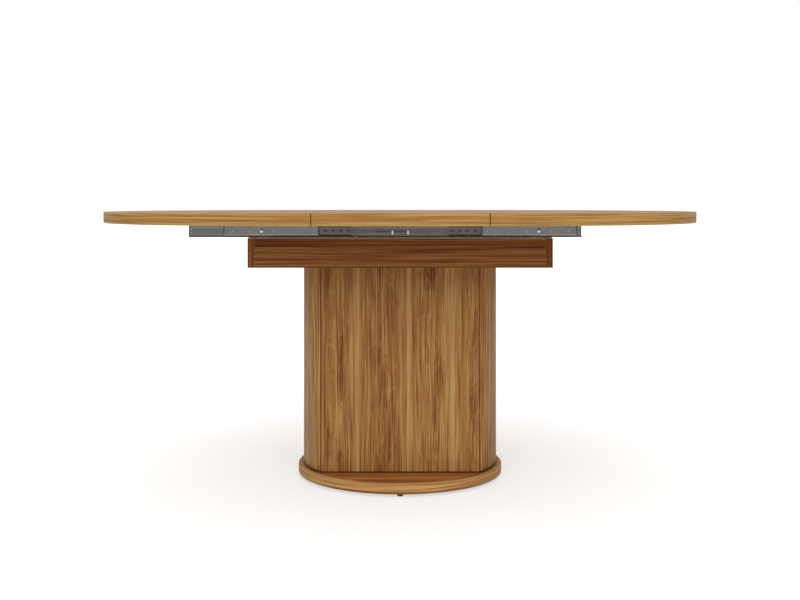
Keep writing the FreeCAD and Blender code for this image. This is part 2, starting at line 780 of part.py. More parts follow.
def slide_channel(label, side):
    """Floating channel with its web in the middle and open on both sides; it stands shifted
    to the left, with the end of its slot at a stud."""
    low_groove = "groove_place - groove_width / 2"
    high_groove = "groove_place + groove_width / 2"
    floor = "web_front - groove_depth"
    corners = [
        ("channel_inset", "-channel_half"),
        ("channel_mouth", "-channel_half"),
        ("channel_mouth", "-channel_inner"),
        ("web_front", "-channel_inner"),
        ("web_front", f"-({high_groove})"),
        (floor, f"-({high_groove})"),
        (floor, f"-({low_groove})"),
        ("web_front", f"-({low_groove})"),
        ("web_front", low_groove),
        (floor, low_groove),
        (floor, high_groove),
        ("web_front", high_groove),
        ("web_front", "channel_inner"),
        ("channel_mouth", "channel_inner"),
        ("channel_mouth", "channel_half"),
        ("channel_inset", "channel_half"),
        ("channel_inset", "channel_inner"),
        ("web_place", "channel_inner"),
        ("web_place", "-channel_inner"),
        ("channel_inset", "-channel_inner"),
    ]
    ends = ("-channel_length / 2 - float_half", "channel_length / 2 - float_half")
    channel = pad("YZ", profile(side, corners), ends)
    web = span(side, "slide_back + web_place", "slide_back + web_front")
    pocket(channel, "XZ", web, outlines=[stud_slot("float_half")])
    keep(channel, label)


def cage_outline(side, web, lip):
    """Section of a ball cage: a thin channel with its web at one depth and lips to another."""
    inner = "ball_place - cage_gauge / 2"
    outer = "ball_place + cage_gauge / 2"
    web_out, web_in = web
    corners = [
        (web_out, f"-({outer})"),
        (lip, f"-({outer})"),
        (lip, f"-({inner})"),
        (web_in, f"-({inner})"),
        (web_in, inner),
        (lip, inner),
        (lip, outer),
        (web_out, outer),
    ]
    return profile(side, corners)


def ball_stations(ends):
    """X of the balls in one row of a cage."""
    low, high = ends
    room = f"({high}) - ({low}) - 2 * cage_margin"
    steps = BALLS_PER_ROW - 1
    return [f"{low} + cage_margin + ({room}) * {step} / {steps}" for step in range(BALLS_PER_ROW)]


def ball_rows(side, row, ends):
    """Both rows of balls of one cage."""
    return [
        ball(x, f"{side} * (slide_back + {row})", f"slide_centre + {way} * ball_place")
        for x in ball_stations(ends)
        for way in (-1, 1)
    ]


def bore_ball_holes(cage, side, row, ends):
    """Cut the holes for both rows of balls through a cage's lips."""
    across = f"{side} * (slide_back + {row})"
    holes = [(x, across, "ball_radius + ball_clearance") for x in ball_stations(ends)]
    pocket(cage, "XY", ("slide_centre - channel_half", "slide_centre + channel_half"), holes)


def rail_cage(label, side):
    """Ball cage of a fixed rail with its balls; it travels half as far as the channel."""
    ends = ("-rail_cage_length / 2 - float_half / 2", "rail_cage_length / 2 - float_half / 2")
    web_in = "rail_depth + ball_clearance"
    web_out = f"{web_in} + cage_gauge"
    outline = cage_outline(side, (web_out, web_in), "channel_inset")
    cage = pad("YZ", outline, ends)
    bore_ball_holes(cage, side, "rail_ball_row", ends)
    web = span(side, f"slide_back + {web_in}", f"slide_back + {web_out}")
    pocket(cage, "XZ", web, outlines=[stud_slot("float_half / 2")])
    keep(group([cage] + ball_rows(side, "rail_ball_row", ends)), label)


def runner_cage(name, side, depth):
    """Ball cage between a runner and the channel; its inner end shows beyond the runner."""
    ends = span(side, "cage_reach", "cage_reach + cage_length")
    web_out = "web_front + ball_clearance"
    web_in = f"{web_out} + cage_gauge"
    outline = cage_outline(depth, (web_out, web_in), "channel_mouth - 2 * ball_clearance")
    cage = pad("YZ", outline, ends)
    bore_ball_holes(cage, depth, "runner_ball_row", ends)
    web = span(depth, f"slide_back + {web_out}", f"slide_back + {web_in}")
    first = "cage_reach + first_window"
    windows = [
        (f"{side} * ({first} + {number} * window_pitch)", "slide_centre", "window_radius")
        for number in range(WINDOWS_PER_CAGE)
    ]
    pocket(cage, "XZ", web, windows)
    keep(cage, f"runner_cage_{name}")
    keep(group(ball_rows(depth, "runner_ball_row", ends)), f"runner_balls_{name}")


def runner_screw_places(side):
    """X of the screws that hold a runner under its half top."""
    room = "runner_reach - runner_inner_end - 2 * screw_inset"
    steps = SCREWS_PER_RUNNER - 1
    return [
        f"{side} * (runner_inner_end + screw_inset + ({room}) * {step} / {steps})"
        for step in range(SCREWS_PER_RUNNER)
    ]


def runner(name, side, depth):
    """Runner under a half top: a rail inside the channel, with a flange under the wood."""
    under = "(underside - slide_centre)"
    corners = [
        ("runner_lip", "-race_half"),
        ("slide_depth", "-race_half"),
        ("slide_depth", f"{under} - steel_gauge"),
        ("flange_edge", f"{under} - steel_gauge"),
        ("flange_edge", under),
        ("slide_depth - rail_gauge", under),
        ("slide_depth - rail_gauge", "race_half"),
        ("runner_lip", "race_half"),
        ("runner_lip", "race_inner"),
        ("slide_depth - rail_gauge", "race_inner"),
        ("slide_depth - rail_gauge", "-race_inner"),
        ("runner_lip", "-race_inner"),
    ]
    rail = pad("YZ", profile(depth, corners), span(side, "runner_inner_end", "runner_reach"))
    line = f"{depth} * (slide_back + screw_line)"
    screws = [(x, line, "screw_radius + ball_clearance") for x in runner_screw_places(side)]
    pocket(rail, "XY", ("underside - steel_gauge", "underside"), screws)
    web = span(depth, "slide_back + slide_depth - rail_gauge", "slide_back + slide_depth")
    places = ["runner_reach - first_hole", "runner_reach - second_hole"]
    places += ["runner_reach - third_hole", "runner_inner_end + last_hole"]
    holes = [(f"{side} * ({x})", "slide_centre", "runner_hole_radius") for x in places]
    holes.append((stop_rivet_place(side), "slide_centre", "rivet_radius"))
    pocket(rail, "XZ", web, holes)
    keep(rail, f"runner_{name}")


def stop_rivet_place(side):
    """X of the rivet that holds a stop block."""
    return f"{side} * (runner_reach - stop_place)"


def runner_screws(name, side):
    """Screws that hold two runners under one half top, and the rivets of their stop blocks."""
    solids = []
    for depth in DEPTHS.values():
        line = f"{depth} * (slide_back + screw_line)"
        for x in runner_screw_places(side):
            seat = "underside - steel_gauge"
            head = rod("Z", "screw_head_radius", (f"{seat} - screw_head_height", seat), (x, line))
            shaft = rod("Z", "screw_radius", (seat, "underside + screw_grip"), (x, line))
            solids.append(joined([head, shaft]))
        face = "slide_back + slide_depth"
        centre = (stop_rivet_place(side), "slide_centre")
        shaft_ends = span(depth, "slide_back + runner_lip + stop_cover", face)
        shaft = rod("Y", "rivet_radius", shaft_ends, centre)
        head_ends = span(depth, face, f"{face} + rivet_head_height")
        solids.append(joined([shaft, rod("Y", "rivet_head_radius", head_ends, centre)]))
    keep(group(solids), f"runner_screws_{name}")


def stop_blocks(name, side):
    """Plastic stop blocks inside two runners of one half top."""
    solids = []
    for depth in DEPTHS.values():
        centre = stop_rivet_place(side)
        body = block(
            (f"{centre} - stop_length / 2", f"{centre} + stop_length / 2"),
            span(depth, "slide_back + runner_lip", "slide_back + slide_depth - rail_gauge"),
            ("slide_centre - race_inner", "slide_centre + race_inner"),
        )
        inside = span(depth, "slide_back + runner_lip + stop_cover", "slide_back + slide_depth")
        solids.append(less(body, rod("Y", "rivet_radius", inside, (centre, "slide_centre"))))
    keep(group(solids), f"runner_stop_blocks_{name}")


def frame_screws():
    """Wood screws of the support angles and of the pivot brackets on the floor."""
    solids = []
    for side in DEPTHS.values():
        seat = "box_top + steel_gauge"
        centre_line = angle_screw_line(side)
        for x in angle_screw_places():
            centre = (x, centre_line)
            head = rod("Z", "screw_head_radius", (seat, f"{seat} + screw_head_height"), centre)
            shaft = rod("Z", "screw_radius", ("box_top - screw_grip", seat), centre)
            solids.append(joined([head, shaft]))
    for centre in bracket_screw_places(floor_pivots()):
        seat = "floor_top + bracket_gauge"
        head = rod("Z", "screw_head_radius", (seat, f"{seat} + screw_head_height"), centre)
        shaft = rod("Z", "screw_radius", ("floor_top - screw_grip", seat), centre)
        solids.append(joined([head, shaft]))
    keep(group(solids), "frame_screws")


def slides():
    """Both slides, front and back."""
    for depth_name, depth in DEPTHS.items():
        support_angle(f"support_angle_{depth_name}", depth)
        fixed_rail(f"fixed_rail_{depth_name}", depth)
        rail_cage(f"fixed_rail_cage_{depth_name}", depth)
        slide_channel(f"slide_channel_{depth_name}", depth)
        for side_name, side in SIDES.items():
            runner(f"{depth_name}_{side_name}", side, depth)
            runner_cage(f"{depth_name}_{side_name}", side, depth)
    fixed_rail_rivets()
    cage_stop_studs()
    for side_name, side in SIDES.items():
        runner_screws(side_name, side)
        stop_blocks(side_name, side)
    frame_screws()


# ---- Top -------------------------------------------------------------------------------------


def stand_on_seam(body, side):
    """Put a half round body, made on the +X side, at its seam, turned for the left half."""
    if side < 0:
        body.Placement.Rotation = FreeCAD.Rotation(FreeCAD.Vector(0, 0, 1), 180)
    place(body, f"{side} * half_leaf")


def half_top(name, side):
    """Veneered half round top, bored for the runners' screws."""
    across = ("0", "top_radius - band_width")
    core = turned(rectangle(across, ("underside", "table_height")), HALF_TURN)
    holes = []
    for depth in DEPTHS.values():
        line = f"{depth} * (slide_back + screw_line)"
        for x in runner_screw_places(1):
            holes.append((f"{x} - half_leaf", line, "screw_radius"))
    pocket(core, "XY", ("underside", "underside + screw_grip"), holes)
    stand_on_seam(core, side)
    keep(core, f"half_top_{name}")


def half_band(name, side):
    """Solid wood band round a half top, rounded on its outer edges."""
    across = ("top_radius - band_width", "top_radius")
    band = turned(rectangle(across, ("underside", "table_height")), HALF_TURN)
    outer = millimetres("top_radius")

    def on_rim(middle, edge):
        is_round = edge.Curve.TypeId == "Part::GeomCircle"
        return is_round and abs(math.hypot(middle.x, middle.y) - outer) < TOUCH

    round_edges(band, "edge_rounding", on_rim)
    stand_on_seam(band, side)
    keep(band, f"edge_band_{name}")


def barrel_places():
    """X of the three barrel hinges."""
    return ["-barrel_pitch", "0", "barrel_pitch"]


def leaf_panel(label, side):
    """Veneered panel of one half of the leaf, bored for the barrel hinges."""
    across = ("-half_leaf + seam_gap", "half_leaf - seam_gap")
    deep = span(side, "fold_gap / 2", "top_radius - band_width")
    panel = pad("XY", rectangle(across, deep), ("underside", "table_height"))
    middle = "underside + top_thickness / 2"
    holes = [(x, middle, "barrel_radius") for x in barrel_places()]
    pocket(panel, "XZ", span(side, "fold_gap / 2", "fold_gap / 2 + barrel_depth"), holes)
    if side > 0:
        screws = [(x, y, "screw_radius") for x, y in bracket_screw_places(leaf_pivots())]
        pocket(panel, "XY", ("underside", "underside + screw_grip"), screws)
    keep(panel, label)


def leaf_band(label, side):
    """Solid wood band at the outer end of one half of the leaf."""
    across = ("-half_leaf + seam_gap", "half_leaf - seam_gap")
    deep = span(side, "top_radius - band_width", "top_radius")
    band = pad("XY", rectangle(across, deep), ("underside", "table_height"))
    outer = side * millimetres("top_radius")

    def on_rim(middle, edge):
        lies_along_x = abs(edge.Vertexes[0].X - edge.Vertexes[-1].X) > TOUCH
        return lies_along_x and abs(middle.y - outer) < TOUCH

    round_edges(band, "edge_rounding", on_rim)
    keep(band, label)


def hinge_barrels(label, side):
    """Barrels of the concealed hinges in one half of the leaf."""
    middle = "underside + top_thickness / 2"
    ends = span(side, "fold_gap / 2", "fold_gap / 2 + barrel_depth")
    solids = [rod("Y", "barrel_radius", ends, (x, middle)) for x in barrel_places()]
    keep(group(solids), label)


def top():
    """Two half tops and the leaf between them, each with its edge band."""
    for name, side in SIDES.items():
        half_top(name, side)
        half_band(name, side)
    for name, side in DEPTHS.items():
        leaf_panel(f"leaf_{name}_panel", side)
        leaf_band(f"leaf_{name}_edge_band", side)
        hinge_barrels(f"leaf_hinge_barrels_{name}", side)


# ---- Leaf mechanism --------------------------------------------------------------------------


def pivot_brackets(label, pivots, height, cheek, foot):
    """Brackets at the given pivots: a cheek beside the arm and a foot towards the middle."""
    solids = []
    for side in SIDES.values():
        cheek_x = span(side, "arm_place", "arm_place + bracket_gauge")
        foot_x = span(side, "arm_place - bracket_foot", "arm_place + bracket_gauge")
        for pivot in pivots:
            length = (f"{pivot} - bracket_half_length", f"{pivot} + bracket_half_length")
            solid = joined([block(cheek_x, length, cheek), block(foot_x, length, foot)])
            holes = [rod("X", "pin_radius", cheek_x, (pivot, height))]
            for way in (-1, 1):
                centre = (bracket_screw_x(side), bracket_screw_y(pivot, way))
                holes.append(rod("Z", "screw_radius", foot, centre))
            solids.append(less(solid, group(holes)))
    keep(group(solids), label)


def pivot_pins(label, pivots, height):
    """Pins through the brackets' cheeks and the arms, with heads outside the arms."""
    solids = []
    for side in SIDES.values():
        for pivot in pivots:
            shaft = rod("X", "pin_radius", span(side, "arm_place", "pin_seat"), (pivot, height))
            head_ends = span(side, "pin_seat", "pin_seat + pin_head_height")
            head = rod("X", "pin_head_radius", head_ends, (pivot, height))
            solids.append(joined([shaft, head]))
    keep(group(solids), label)


def swing_arm(side, pivot, far_clearance):
    """One arm, made level along +Y from its floor pivot and turned up to the leaf's pivot."""
    across = span(side, "arm_inner", "arm_outer")
    bar = block(across, ("0", "arm_length"), ("-arm_half_width", "arm_half_width"))
    near_end = rod("X", "arm_half_width", across, ("0", "0"))
    far_end = rod("X", "arm_half_width", across, ("arm_length", "0"))
    near_bore = rod("X", "pin_radius + running_clearance", across, ("0", "0"))
    far_bore = rod("X", f"pin_radius + {far_clearance}", across, ("arm_length", "0"))
    arm = less(joined([bar, near_end, far_end]), group([near_bore, far_bore]))
    arm.Placement.Rotation = FreeCAD.Rotation(FreeCAD.Vector(1, 0, 0), 1)
    arm.setExpression("Placement.Rotation.Angle", sized("2 * atan(stow_drop / stow_shift)"))
    place(arm, "0", pivot, "arm_floor_pivot")
    return arm


def leaf_mechanism():
    """Four parallel arms between the floor of the box and the rear half of the leaf."""
    floor_foot = ("floor_top", "floor_top + bracket_gauge")
    floor_cheek = ("floor_top", "arm_floor_pivot + bracket_eye")
    pivot_brackets(
        "floor_pivot_brackets", floor_pivots(), "arm_floor_pivot", floor_cheek, floor_foot
    )
    pivot_pins("floor_pivot_pins", floor_pivots(), "arm_floor_pivot")
    leaf_foot = ("underside - bracket_gauge", "underside")
    leaf_cheek = ("leaf_pivot - bracket_eye", "underside")
    pivot_brackets("leaf_pivot_brackets", leaf_pivots(), "leaf_pivot", leaf_cheek, leaf_foot)
    pivot_pins("leaf_pivot_pins", leaf_pivots(), "leaf_pivot")
    clearances = ("running_clearance", "open_pivot_clearance")
    for name, pivot, clearance in zip(DEPTHS, floor_pivots(), clearances):
        arms = [swing_arm(side, pivot, clearance) for side in SIDES.values()]
        keep(group(arms), f"swing_arms_{name}")
    screws = []
    for centre in bracket_screw_places(leaf_pivots()):
        seat = "underside - bracket_gauge"
        head = rod("Z", "screw_head_radius", (f"{seat} - screw_head_height", seat), centre)
        shaft = rod("Z", "screw_radius", (seat, "underside + screw_grip"), centre)
        screws.append(joined([head, shaft]))
    keep(group(screws), "leaf_bracket_screws")


# ---- Build and write -------------------------------------------------------------------------


def check_document():
    """Stop if any object failed or any sub-part has no valid solid."""
    for thing in document.Objects:
        bad = {"Invalid", "Error"} & set(thing.State)
        assert not bad, f"{thing.Name} ({thing.Label}) failed: {thing.State}"
    for thing in subparts:
        assert not thing.Shape.isNull(), f"{thing.Label} is empty"
        assert thing.Shape.isValid(), f"{thing.Label} is not valid"
        assert thing.Shape.Solids, f"{thing.Label} holds no solid"


def write_subparts():
    """Write each sub-part to its own STEP file."""
    os.makedirs("parts", exist_ok=True)
    for thing in subparts:
        thing.Shape.exportStep(f"parts/{thing.Label}.step")
        box = thing.Shape.BoundBox
        print(
            f"{thing.Label}: {len(thing.Shape.Solids)} solids, {thing.Shape.Volume / 1000:.1f} cm3, "
            f"x {box.XMin:.1f} {box.XMax:.1f} y {box.YMin:.1f} {box.YMax:.1f} "
            f"z {box.ZMin:.1f} {box.ZMax:.1f}"
        )
    print(f"{len(subparts)} sub-parts")


fill_sheet()
base_and_pedestal()
storage_box()
slides()
top()
leaf_mechanism()
document.recompute()
check_document()
write_subparts()
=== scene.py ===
"""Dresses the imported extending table: wood and steel finishes, small fittings, floor, light, camera.

Everything is in metres in the table's own frame: Z up, X along the extended top, -Y the front.
"""

from __future__ import annotations

import logging
import math
from collections.abc import Callable, Sequence
from dataclasses import dataclass, field
from enum import Enum

import bpy
import numpy as np
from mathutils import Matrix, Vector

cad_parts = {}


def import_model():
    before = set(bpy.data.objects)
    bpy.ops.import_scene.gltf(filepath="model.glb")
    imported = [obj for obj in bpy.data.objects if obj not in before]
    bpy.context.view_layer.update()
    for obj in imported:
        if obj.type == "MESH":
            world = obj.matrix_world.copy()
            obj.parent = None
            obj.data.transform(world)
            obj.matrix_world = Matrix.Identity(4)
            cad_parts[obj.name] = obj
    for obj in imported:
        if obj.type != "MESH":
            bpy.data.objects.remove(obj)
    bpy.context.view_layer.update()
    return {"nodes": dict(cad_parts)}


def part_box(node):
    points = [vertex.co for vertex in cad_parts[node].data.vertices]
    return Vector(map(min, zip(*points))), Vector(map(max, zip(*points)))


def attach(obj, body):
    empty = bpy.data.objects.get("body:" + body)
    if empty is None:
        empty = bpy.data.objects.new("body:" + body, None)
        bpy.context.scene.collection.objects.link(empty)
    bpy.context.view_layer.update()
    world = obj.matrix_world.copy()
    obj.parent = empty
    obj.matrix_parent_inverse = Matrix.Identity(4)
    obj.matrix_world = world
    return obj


LOG = logging.getLogger("extending_table")

Colour = tuple[float, float, float]
Operand = "Signal | float"

MILLIMETRE = 0.001


def tone(red: int, green: int, blue: int) -> Colour:
    """Turn a display colour into linear light.

    Args:
        red: Red from 0 to 255.
        green: Green from 0 to 255.
        blue: Blue from 0 to 255.

    Returns:
        The linear colour, each part from 0 to 1.
    """
    parts = np.array((red, green, blue)) / 255.0
    linear = np.where(parts <= 0.04045, parts / 12.92, ((parts + 0.055) / 1.055) ** 2.4)
    return tuple(float(part) for part in linear)


# ---- Shader graphs ---------------------------------------------------------------------------


class Signal:
    """One value in a shader graph; arithmetic on it adds Math nodes."""

    def __init__(self, graph: Graph, socket: bpy.types.NodeSocket) -> None:
        """Keep the graph and the socket that gives the value."""
        self.graph = graph
        self.socket = socket

    def __add__(self, other: Operand) -> Signal:
        """Sum of both."""
        return self.graph.math("ADD", self, other)

    def __sub__(self, other: Operand) -> Signal:
        """This less the other."""
        return self.graph.math("SUBTRACT", self, other)

    def __mul__(self, other: Operand) -> Signal:
        """Product of both."""
        return self.graph.math("MULTIPLY", self, other)

    def __truediv__(self, other: Operand) -> Signal:
        """This divided by the other."""
        return self.graph.math("DIVIDE", self, other)

    def apply(self, operation: str, *others: Operand) -> Signal:
        """Any other Math operation with this as its first value."""
        return self.graph.math(operation, self, *others)

    def rise(self, low: float, high: float) -> Signal:
        """Smooth step from 0 at low to 1 at high; it falls where high is less than low.

        Args:
            low: Value where the step is 0.
            high: Value where the step is 1.

        Returns:
            The step.
        """
        node = self.graph.add("ShaderNodeMapRange", interpolation_type="SMOOTHSTEP")
        flip = high < low
        settings = {"From Min": min(low, high), "From Max": max(low, high)}
        settings |= {"To Min": float(flip), "To Max": float(not flip)}
        for name, value in settings.items():
            node.inputs[name].default_value = value
        self.graph.feed(node.inputs["Value"], self)
        return Signal(self.graph, node.outputs["Result"])


class Graph:
    """Adds and links the nodes of one material."""

    def __init__(self, name: str) -> None:
        """Make an empty node material with an output.

        Args:
            name: Name of the material.
        """
        self.material = bpy.data.materials.new(name)
        self.material.use_nodes = True
        self.tree = self.material.node_tree
        self.tree.nodes.clear()
        self.output = self.add("ShaderNodeOutputMaterial")
        self.shader = self.add("ShaderNodeBsdfPrincipled")
        self.tree.links.new(self.shader.outputs["BSDF"], self.output.inputs["Surface"])
        self.coordinates = self.add("ShaderNodeTexCoord")

    def add(self, kind: str, **settings: object) -> bpy.types.Node:
        """Add a node and set its properties."""
        node = self.tree.nodes.new(kind)
        for name, value in settings.items():
            setattr(node, name, value)
        return node

    def feed(self, socket: bpy.types.NodeSocket, value: object) -> None:
        """Link a signal to a socket, or set a constant on it."""
        if isinstance(value, Signal):
            self.tree.links.new(value.socket, socket)
        elif isinstance(value, tuple) and len(value) == 3 and socket.type == "RGBA":
            socket.default_value = (*value, 1.0)
        else:
            socket.default_value = value

    def math(self, operation: str, *values: Operand) -> Signal:
        """One Math node."""
        node = self.add("ShaderNodeMath", operation=operation)
        for socket, value in zip(node.inputs, values):
            self.feed(socket, value)
        return Signal(self, node.outputs[0])

    def position(self) -> tuple[Signal, Signal, Signal]:
        """X, Y and Z of the point in the table's frame."""
        return self.split(self.coordinates.outputs["Object"])

    def facing(self) -> tuple[Signal, Signal, Signal]:
        """X, Y and Z of the surface's direction."""
        return self.split(self.coordinates.outputs["Normal"])

    def split(self, socket: bpy.types.NodeSocket) -> tuple[Signal, Signal, Signal]:
        """The three parts of a vector."""
        node = self.add("ShaderNodeSeparateXYZ")
        self.tree.links.new(socket, node.inputs[0])
        return tuple(Signal(self, part) for part in node.outputs)

    def noise(
        self,
        place: Sequence[Operand],
        scales: Sequence[float],
        detail: float = 2.0,
        roughness: float = 0.5,
        distortion: float = 0.0,
    ) -> Signal:
        """Noise from 0 to 1 that is stretched by different scales along the three ways.

        Args:
            place: The three coordinates.
            scales: Cells per metre along each of them.
            detail: Number of finer layers.
            roughness: Weight of the finer layers.
            distortion: How far the noise folds on itself.

        Returns:
            The noise.
        """
        vector = self.add("ShaderNodeCombineXYZ")
        for socket, part, scale in zip(vector.inputs, place, scales):
            self.feed(socket, part * scale)
        node = self.add("ShaderNodeTexNoise", noise_dimensions="3D")
        self.tree.links.new(vector.outputs[0], node.inputs["Vector"])
        node.inputs["Scale"].default_value = 1.0
        node.inputs["Detail"].default_value = detail
        node.inputs["Roughness"].default_value = roughness
        node.inputs["Distortion"].default_value = distortion
        return Signal(self, node.outputs["Fac"])

    def chance(self, number: Signal) -> Signal:
        """A random value from 0 to 1 for each whole number."""
        node = self.add("ShaderNodeTexWhiteNoise", noise_dimensions="1D")
        self.feed(node.inputs["W"], number)
        return Signal(self, node.outputs["Value"])

    def ramp(self, value: Signal, stops: Sequence[tuple[float, Colour]]) -> Signal:
        """Colour that changes with a value.

        Args:
            value: Value from 0 to 1.
            stops: Places and colours in rising order.

        Returns:
            The colour.
        """
        node = self.add("ShaderNodeValToRGB")
        elements = node.color_ramp.elements
        while len(elements) < len(stops):
            elements.new(0.5)
        for element, (place, colour) in zip(elements, stops):
            element.position = place
            element.color = (*colour, 1.0)
        self.feed(node.inputs["Fac"], value)
        return Signal(self, node.outputs["Color"])

    def blend(
        self, share: Operand, first: Signal | Colour, second: Signal | Colour, mode: str = "MIX"
    ) -> Signal:
        """Mix of two colours.

        Args:
            share: Share of the second colour.
            first: Colour where the share is 0.
            second: Colour where the share is 1.
            mode: Name of the mixing mode.

        Returns:
            The mixed colour.
        """
        node = self.add("ShaderNodeMix", data_type="RGBA", blend_type=mode)
        self.feed(node.inputs["Factor"], share)
        colours = [socket for socket in node.inputs if socket.type == "RGBA"]
        self.feed(colours[0], first)
        self.feed(colours[1], second)
        out = next(socket for socket in node.outputs if socket.type == "RGBA")
        return Signal(self, out)

    def pick(self, share: Operand, first: Operand, second: Operand) -> Signal:
        """First value where the share is 0, second where it is 1."""
        node = self.add("ShaderNodeMix", data_type="FLOAT")
        self.feed(node.inputs["Factor"], share)
        self.feed(node.inputs["A"], first)
        self.feed(node.inputs["B"], second)
        return Signal(self, node.outputs["Result"])

    def relief(self, height: Signal, depth: float, strength: float) -> None:
        """Bump of the surface by a height from 0 to 1.

        Args:
            height: The height.
            depth: Depth in metres that a height of 1 stands for.
            strength: Strength of the effect.
        """
        node = self.add("ShaderNodeBump")
        node.inputs["Strength"].default_value = strength
        node.inputs["Distance"].default_value = depth
        self.feed(node.inputs["Height"], height)
        self.tree.links.new(node.outputs["Normal"], self.shader.inputs["Normal"])

    def surface(self, **inputs: object) -> bpy.types.Material:
        """Set the shader's sockets by name, with an underscore for a space.

        Args:
            inputs: Constants or signals.

        Returns:
            The finished material.
        """
        for name, value in inputs.items():
            self.feed(self.shader.inputs[name.replace("_", " ")], value)
        return self.material


# ---- Wood ------------------------------------------------------------------------------------


@dataclass(frozen=True)
class TableShape:
    """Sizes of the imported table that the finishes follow."""

    half_leaf: float
    rim_radius: float
    band_inner: float
    top: float
    underside: float
    box_top: float
    box_bottom: float
    board_end: float
    box_end: float
    base_top: float
    base_bottom: float
    base_radius: float
    disc_radius: float
    pedestal_radius: float
    pedestal_face: float
    corner: float

    @classmethod
    def measured(cls) -> TableShape:
        """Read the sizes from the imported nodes."""
        band_low, band_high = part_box("edge_band_right")
        _, core_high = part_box("half_top_right")
        box_low, box_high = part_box("box_front_board")
        _, end_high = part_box("box_right_end_board")
        base_low, base_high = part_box("base_edge_band")
        _, disc_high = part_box("base_disc")
        _, shell_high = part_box("pedestal_right_shell")
        _, face_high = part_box("pedestal_back_panel")
        return cls(
            half_leaf=band_low[0],
            rim_radius=band_high[1],
            band_inner=core_high[1],
            top=band_high[2],
            underside=band_low[2],
            box_top=box_high[2],
            box_bottom=box_low[2],
            board_end=box_high[0],
            box_end=end_high[0],
            base_top=base_high[2],
            base_bottom=base_low[2],
            base_radius=base_high[1],
            disc_radius=disc_high[1],
            pedestal_radius=shell_high[0],
            pedestal_face=face_high[1],
            corner=face_high[0],
        )


Mask = Callable[[Graph], Signal]


class Grain(Enum):
    """Ways in which the grain lies on a piece."""

    TOP = "along the extended top, and along its straight cut edges"
    RIM = "round the edge of the oval top"
    BOARD = "along a long board of the box"
    END_BOARD = "along an end board, upright on its edges"
    PANEL = "upright on a flat panel"
    SHELL = "upright on a curved shell"
    RING = "round the edge of the base"

    def axes(self, graph: Graph, shape: TableShape) -> tuple[Signal, Signal, Signal]:
        """Coordinates along the grain, across it, and into the wood.

        The rim's first coordinate is the length of the path along the oval, which is straight
        beside the leaf and round beyond it. The shell's and the ring's are radius times angle.

        Args:
            graph: Graph that gets the nodes.
            shape: Sizes of the table.

        Returns:
            The three coordinates in metres.
        """
        x, y, z = graph.position()
        if self is Grain.TOP:
            cut = graph.facing()[0].apply("ABSOLUTE").rise(0.6, 0.8)
            return graph.pick(cut, x, y), graph.pick(cut, y, z), graph.pick(cut, z, x)
        if self is Grain.BOARD:
            return x, z, y
        if self is Grain.PANEL:
            return z, x, y
        if self is Grain.END_BOARD:
            edge = graph.facing()[1].apply("ABSOLUTE").rise(0.6, 0.8)
            return graph.pick(edge, y, z), graph.pick(edge, z, x), graph.pick(edge, x, y)
        if self is Grain.SHELL:
            around = y.apply("ARCTAN2", x.apply("ABSOLUTE")) * shape.pedestal_radius
            side = x.apply("SIGN")
            radius = (x * x + y * y).apply("SQRT")
            return z, around + side, radius
        if self is Grain.RING:
            radius = (x * x + y * y).apply("SQRT")
            return x.apply("ARCTAN2", y * -1.0) * shape.base_radius, z, radius
        beyond = (x.apply("ABSOLUTE") - shape.half_leaf).apply("MAXIMUM", 0.0)
        straight = x.apply("ABSOLUTE").apply("MINIMUM", shape.half_leaf)
        turned = beyond.apply("ARCTAN2", y.apply("ABSOLUTE")) * shape.rim_radius
        length = (straight + turned) * x.apply("SIGN") + y.apply("SIGN") * 7.0
        return length, z, (beyond * beyond + y * y).apply("SQRT")


